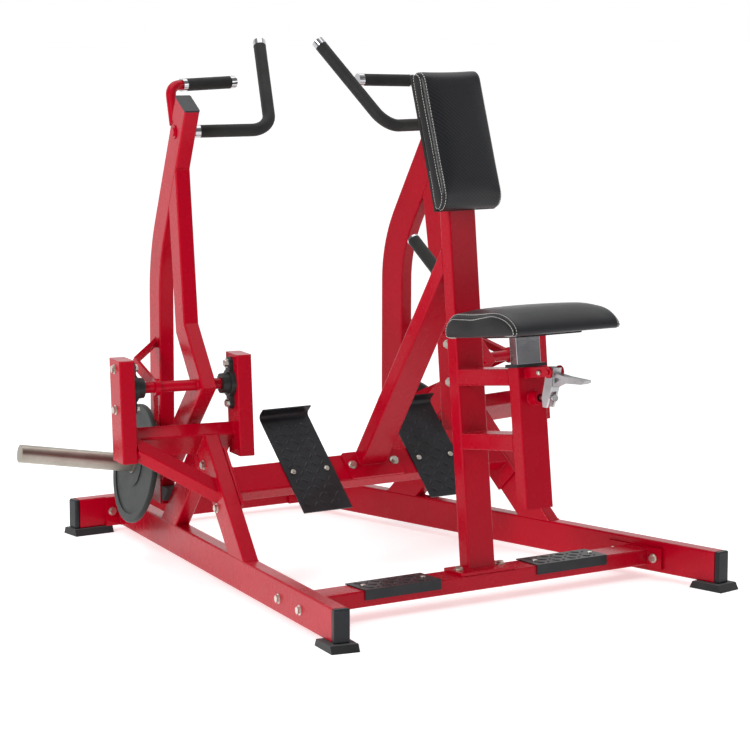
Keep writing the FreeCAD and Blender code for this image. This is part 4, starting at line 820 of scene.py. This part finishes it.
    @staticmethod
    def lay_row(outline, verts, faces):
        """Separate short stitches, thickest in their middle, along one outline."""
        long = 5.2 * MM
        gap = 1.6 * MM
        thick = 0.95 * MM
        path = resample(outline, False, 0.65 * MM)
        travelled = 0.0
        current = []
        for start, end in zip(path, path[1:]):
            if travelled < long:
                current.append(start)
            elif len(current) > 3:
                count = len(current)
                radii = [thick * math.sin(math.pi * (0.12 + 0.76 * index / (count - 1))) ** 0.6
                         for index in range(count)]
                add_tube(verts, faces, current, radii, 6)
                current = []
            travelled += (end - start).length
            if travelled >= long + gap:
                travelled = 0.0
                current = []


def spread_out(thing, shifts, rounds):
    """Evens the vertex shifts over their neighbours, as thick foam does under its cover."""
    near = [[] for _ in shifts]
    for edge in thing.data.edges:
        first, second = edge.vertices
        near[first].append(second)
        near[second].append(first)
    for _ in range(rounds):
        shifts = [sum((shifts[other] for other in around), start=shift) / (len(around) + 1)
                  for shift, around in zip(shifts, near)]
    return shifts


def apply_modifier(thing, modifier):
    """Bakes one modifier into the mesh without operators."""
    graph = bpy.context.evaluated_depsgraph_get()
    baked = bpy.data.meshes.new_from_object(thing.evaluated_get(graph))
    thing.modifiers.remove(modifier)
    old = thing.data
    thing.data = baked
    bpy.data.meshes.remove(old)
    for polygon in thing.data.polygons:
        polygon.use_smooth = True


def tilted(origin, angle):
    return Matrix.Translation(origin) @ Matrix.Rotation(math.radians(angle), 4, "X")


SEAT_LEAN = 7.0
SEAT_SIZE = (345 * MM, 300 * MM, 68 * MM)
SEAT_CORNERS = ((46 * MM, 40 * MM), (105 * MM, 54 * MM))
SEAT_POST = (-0.8220, 0.6406)
SEAT_FRONT = (-0.699, 0.710)
PAD_LEAN = 18.3
PAD_SIZE = (200 * MM, 374 * MM, 50 * MM)
PAD_CORNERS = ((26 * MM, 26 * MM), (40 * MM, 38 * MM))
PAD_FOOT = (-0.553, 1.014)
PAD_STAND_OFF = 10 * MM


def seat_place():
    """Middle of the seat cushion's underside, from its front edge and its lean."""
    lean = math.radians(SEAT_LEAN)
    ahead = SEAT_FRONT[0] - SEAT_POST[0]
    above = SEAT_FRONT[1] - SEAT_POST[1]
    middle = ahead * math.cos(lean) - above * math.sin(lean) - SEAT_SIZE[1] / 2
    under = ahead * math.sin(lean) + above * math.cos(lean)
    post = Vector((0.0, SEAT_POST[0] + FRAME_SHIFT, SEAT_POST[1]))
    return post + Matrix.Rotation(-lean, 3, "X") @ Vector((0.0, middle, under))


def pad_place():
    """Middle of the chest pad's back face, up its slanted mounting."""
    foot = Vector((0.0, PAD_FOOT[0] + FRAME_SHIFT, PAD_FOOT[1]))
    turn = Matrix.Rotation(math.radians(-PAD_LEAN), 3, "X")
    return foot + turn @ Vector((0.0, -PAD_STAND_OFF, PAD_SIZE[1] / 2))


def build_cushions():
    seat = Cushion("seat_cushion", tilted(seat_place(), -SEAT_LEAN), *SEAT_SIZE, SEAT_CORNERS,
                   swell=6 * MM, sag=6 * MM)
    seat.build()
    pad = Cushion("chest_pad_cushion", tilted(pad_place(), 90 - PAD_LEAN), *PAD_SIZE,
                  PAD_CORNERS, swell=5 * MM, sag=4 * MM)
    pad.build()


build_cushions()


# ---------------------------------------------------------------- floor, light and camera

FLOOR_REACH = 60.0
FLOOR_GLOW = 0.55
BACKDROP_WAY = (0.563, 0.826, 0.0)
ROOM_SHADE = (0.2, 0.2, 0.205)
LIGHT_TARGET = (0.0, 0.0, 0.7)


def build_stage():
    """Seamless white studio floor, a little self-lit so that its far edge stays white."""
    material, nodes, links, shader = new_material("studio_floor")
    space = object_space(nodes, links)
    colour = ramp(nodes, links, noise(nodes, links, space, 0.6),
                  ((0.3, (0.84, 0.84, 0.84)), (0.7, (0.86, 0.86, 0.86))))
    links.new(colour, shader.inputs["Base Color"])
    shader.inputs["Roughness"].default_value = 0.8
    shader.inputs["Specular IOR Level"].default_value = 0.2
    shader.inputs["Emission Color"].default_value = (1.0, 1.0, 1.0, 1.0)
    shader.inputs["Emission Strength"].default_value = FLOOR_GLOW
    mesh = bpy.data.meshes.new("studio_floor")
    corners = [(-FLOOR_REACH, -FLOOR_REACH, 0), (FLOOR_REACH, -FLOOR_REACH, 0),
               (FLOOR_REACH, FLOOR_REACH, 0), (-FLOOR_REACH, FLOOR_REACH, 0)]
    mesh.from_pydata(corners, [], [(0, 1, 2, 3)])
    floor = bpy.data.objects.new("studio_floor", mesh)
    floor.data.materials.append(material)
    bpy.context.collection.objects.link(floor)


def area_light(name, place, target, size, power):
    data = bpy.data.lights.new(name, "AREA")
    data.shape = "RECTANGLE"
    data.size, data.size_y = size
    data.energy = power
    light = bpy.data.objects.new(name, data)
    light.location = place
    light.rotation_euler = (Vector(target) - Vector(place)).to_track_quat("-Z", "Y").to_euler()
    bpy.context.collection.objects.link(light)


def fade(nodes, links, value, start, end):
    """Smooth step from 0 at start to 1 at end."""
    node = nodes.new("ShaderNodeMapRange")
    node.interpolation_type = "SMOOTHSTEP"
    node.inputs["From Min"].default_value = start
    node.inputs["From Max"].default_value = end
    links.new(value, node.inputs["Value"])
    return node.outputs["Result"]


def studio_world():
    """White backdrop and ceiling; the side that the object faces is a dimmer room."""
    world = bpy.data.worlds.new("studio")
    bpy.context.scene.world = world
    world.use_nodes = True
    nodes = world.node_tree.nodes
    links = world.node_tree.links
    direction = nodes.new("ShaderNodeTexCoord").outputs["Generated"]
    facing = nodes.new("ShaderNodeVectorMath")
    facing.operation = "DOT_PRODUCT"
    links.new(direction, facing.inputs[0])
    facing.inputs[1].default_value = BACKDROP_WAY
    backdrop = fade(nodes, links, facing.outputs["Value"], 0.1, 0.6)
    ceiling = fade(nodes, links, separate(nodes, links, direction)["Z"], 0.6, 1.2)
    bright = maths(nodes, links, "MAXIMUM", backdrop, ceiling)
    colour = ramp(nodes, links, bright, ((0.0, ROOM_SHADE), (1.0, (1.0, 1.0, 1.0))))
    links.new(colour, nodes["Background"].inputs["Color"])
    nodes["Background"].inputs["Strength"].default_value = 1.0


def build_lights():
    studio_world()
    area_light("key", (-4.6, -1.4, 2.9), LIGHT_TARGET, (1.6, 2.4), 150)
    area_light("fill", (3.4, -4.2, 2.2), LIGHT_TARGET, (2.0, 2.0), 22)
    area_light("top", (0.2, 0.6, 4.2), LIGHT_TARGET, (3.0, 3.0), 40)


CAMERA_PLACE = (-4.1207, -6.0197, 1.5788)
CAMERA_YAW = 34.337
CAMERA_PITCH = 8.089
CAMERA_ROLL = 0.149
CAMERA_LENS = 129.03
CAMERA_SHIFT = (-0.0025, -0.0006)


def build_camera():
    data = bpy.data.cameras.new("camera")
    data.lens = CAMERA_LENS
    data.sensor_width = 36.0
    data.clip_end = 200.0
    data.shift_x = CAMERA_SHIFT[0]
    data.shift_y = CAMERA_SHIFT[1]
    camera = bpy.data.objects.new("camera", data)
    turn = (Matrix.Rotation(math.radians(-CAMERA_YAW), 4, "Z")
            @ Matrix.Rotation(math.radians(90 - CAMERA_PITCH), 4, "X")
            @ Matrix.Rotation(math.radians(CAMERA_ROLL), 4, "Z"))
    camera.matrix_world = Matrix.Translation(CAMERA_PLACE) @ turn
    bpy.context.collection.objects.link(camera)
    bpy.context.scene.camera = camera


bpy.context.scene.view_settings.view_transform = "Standard"
build_stage()
build_lights()
build_camera()
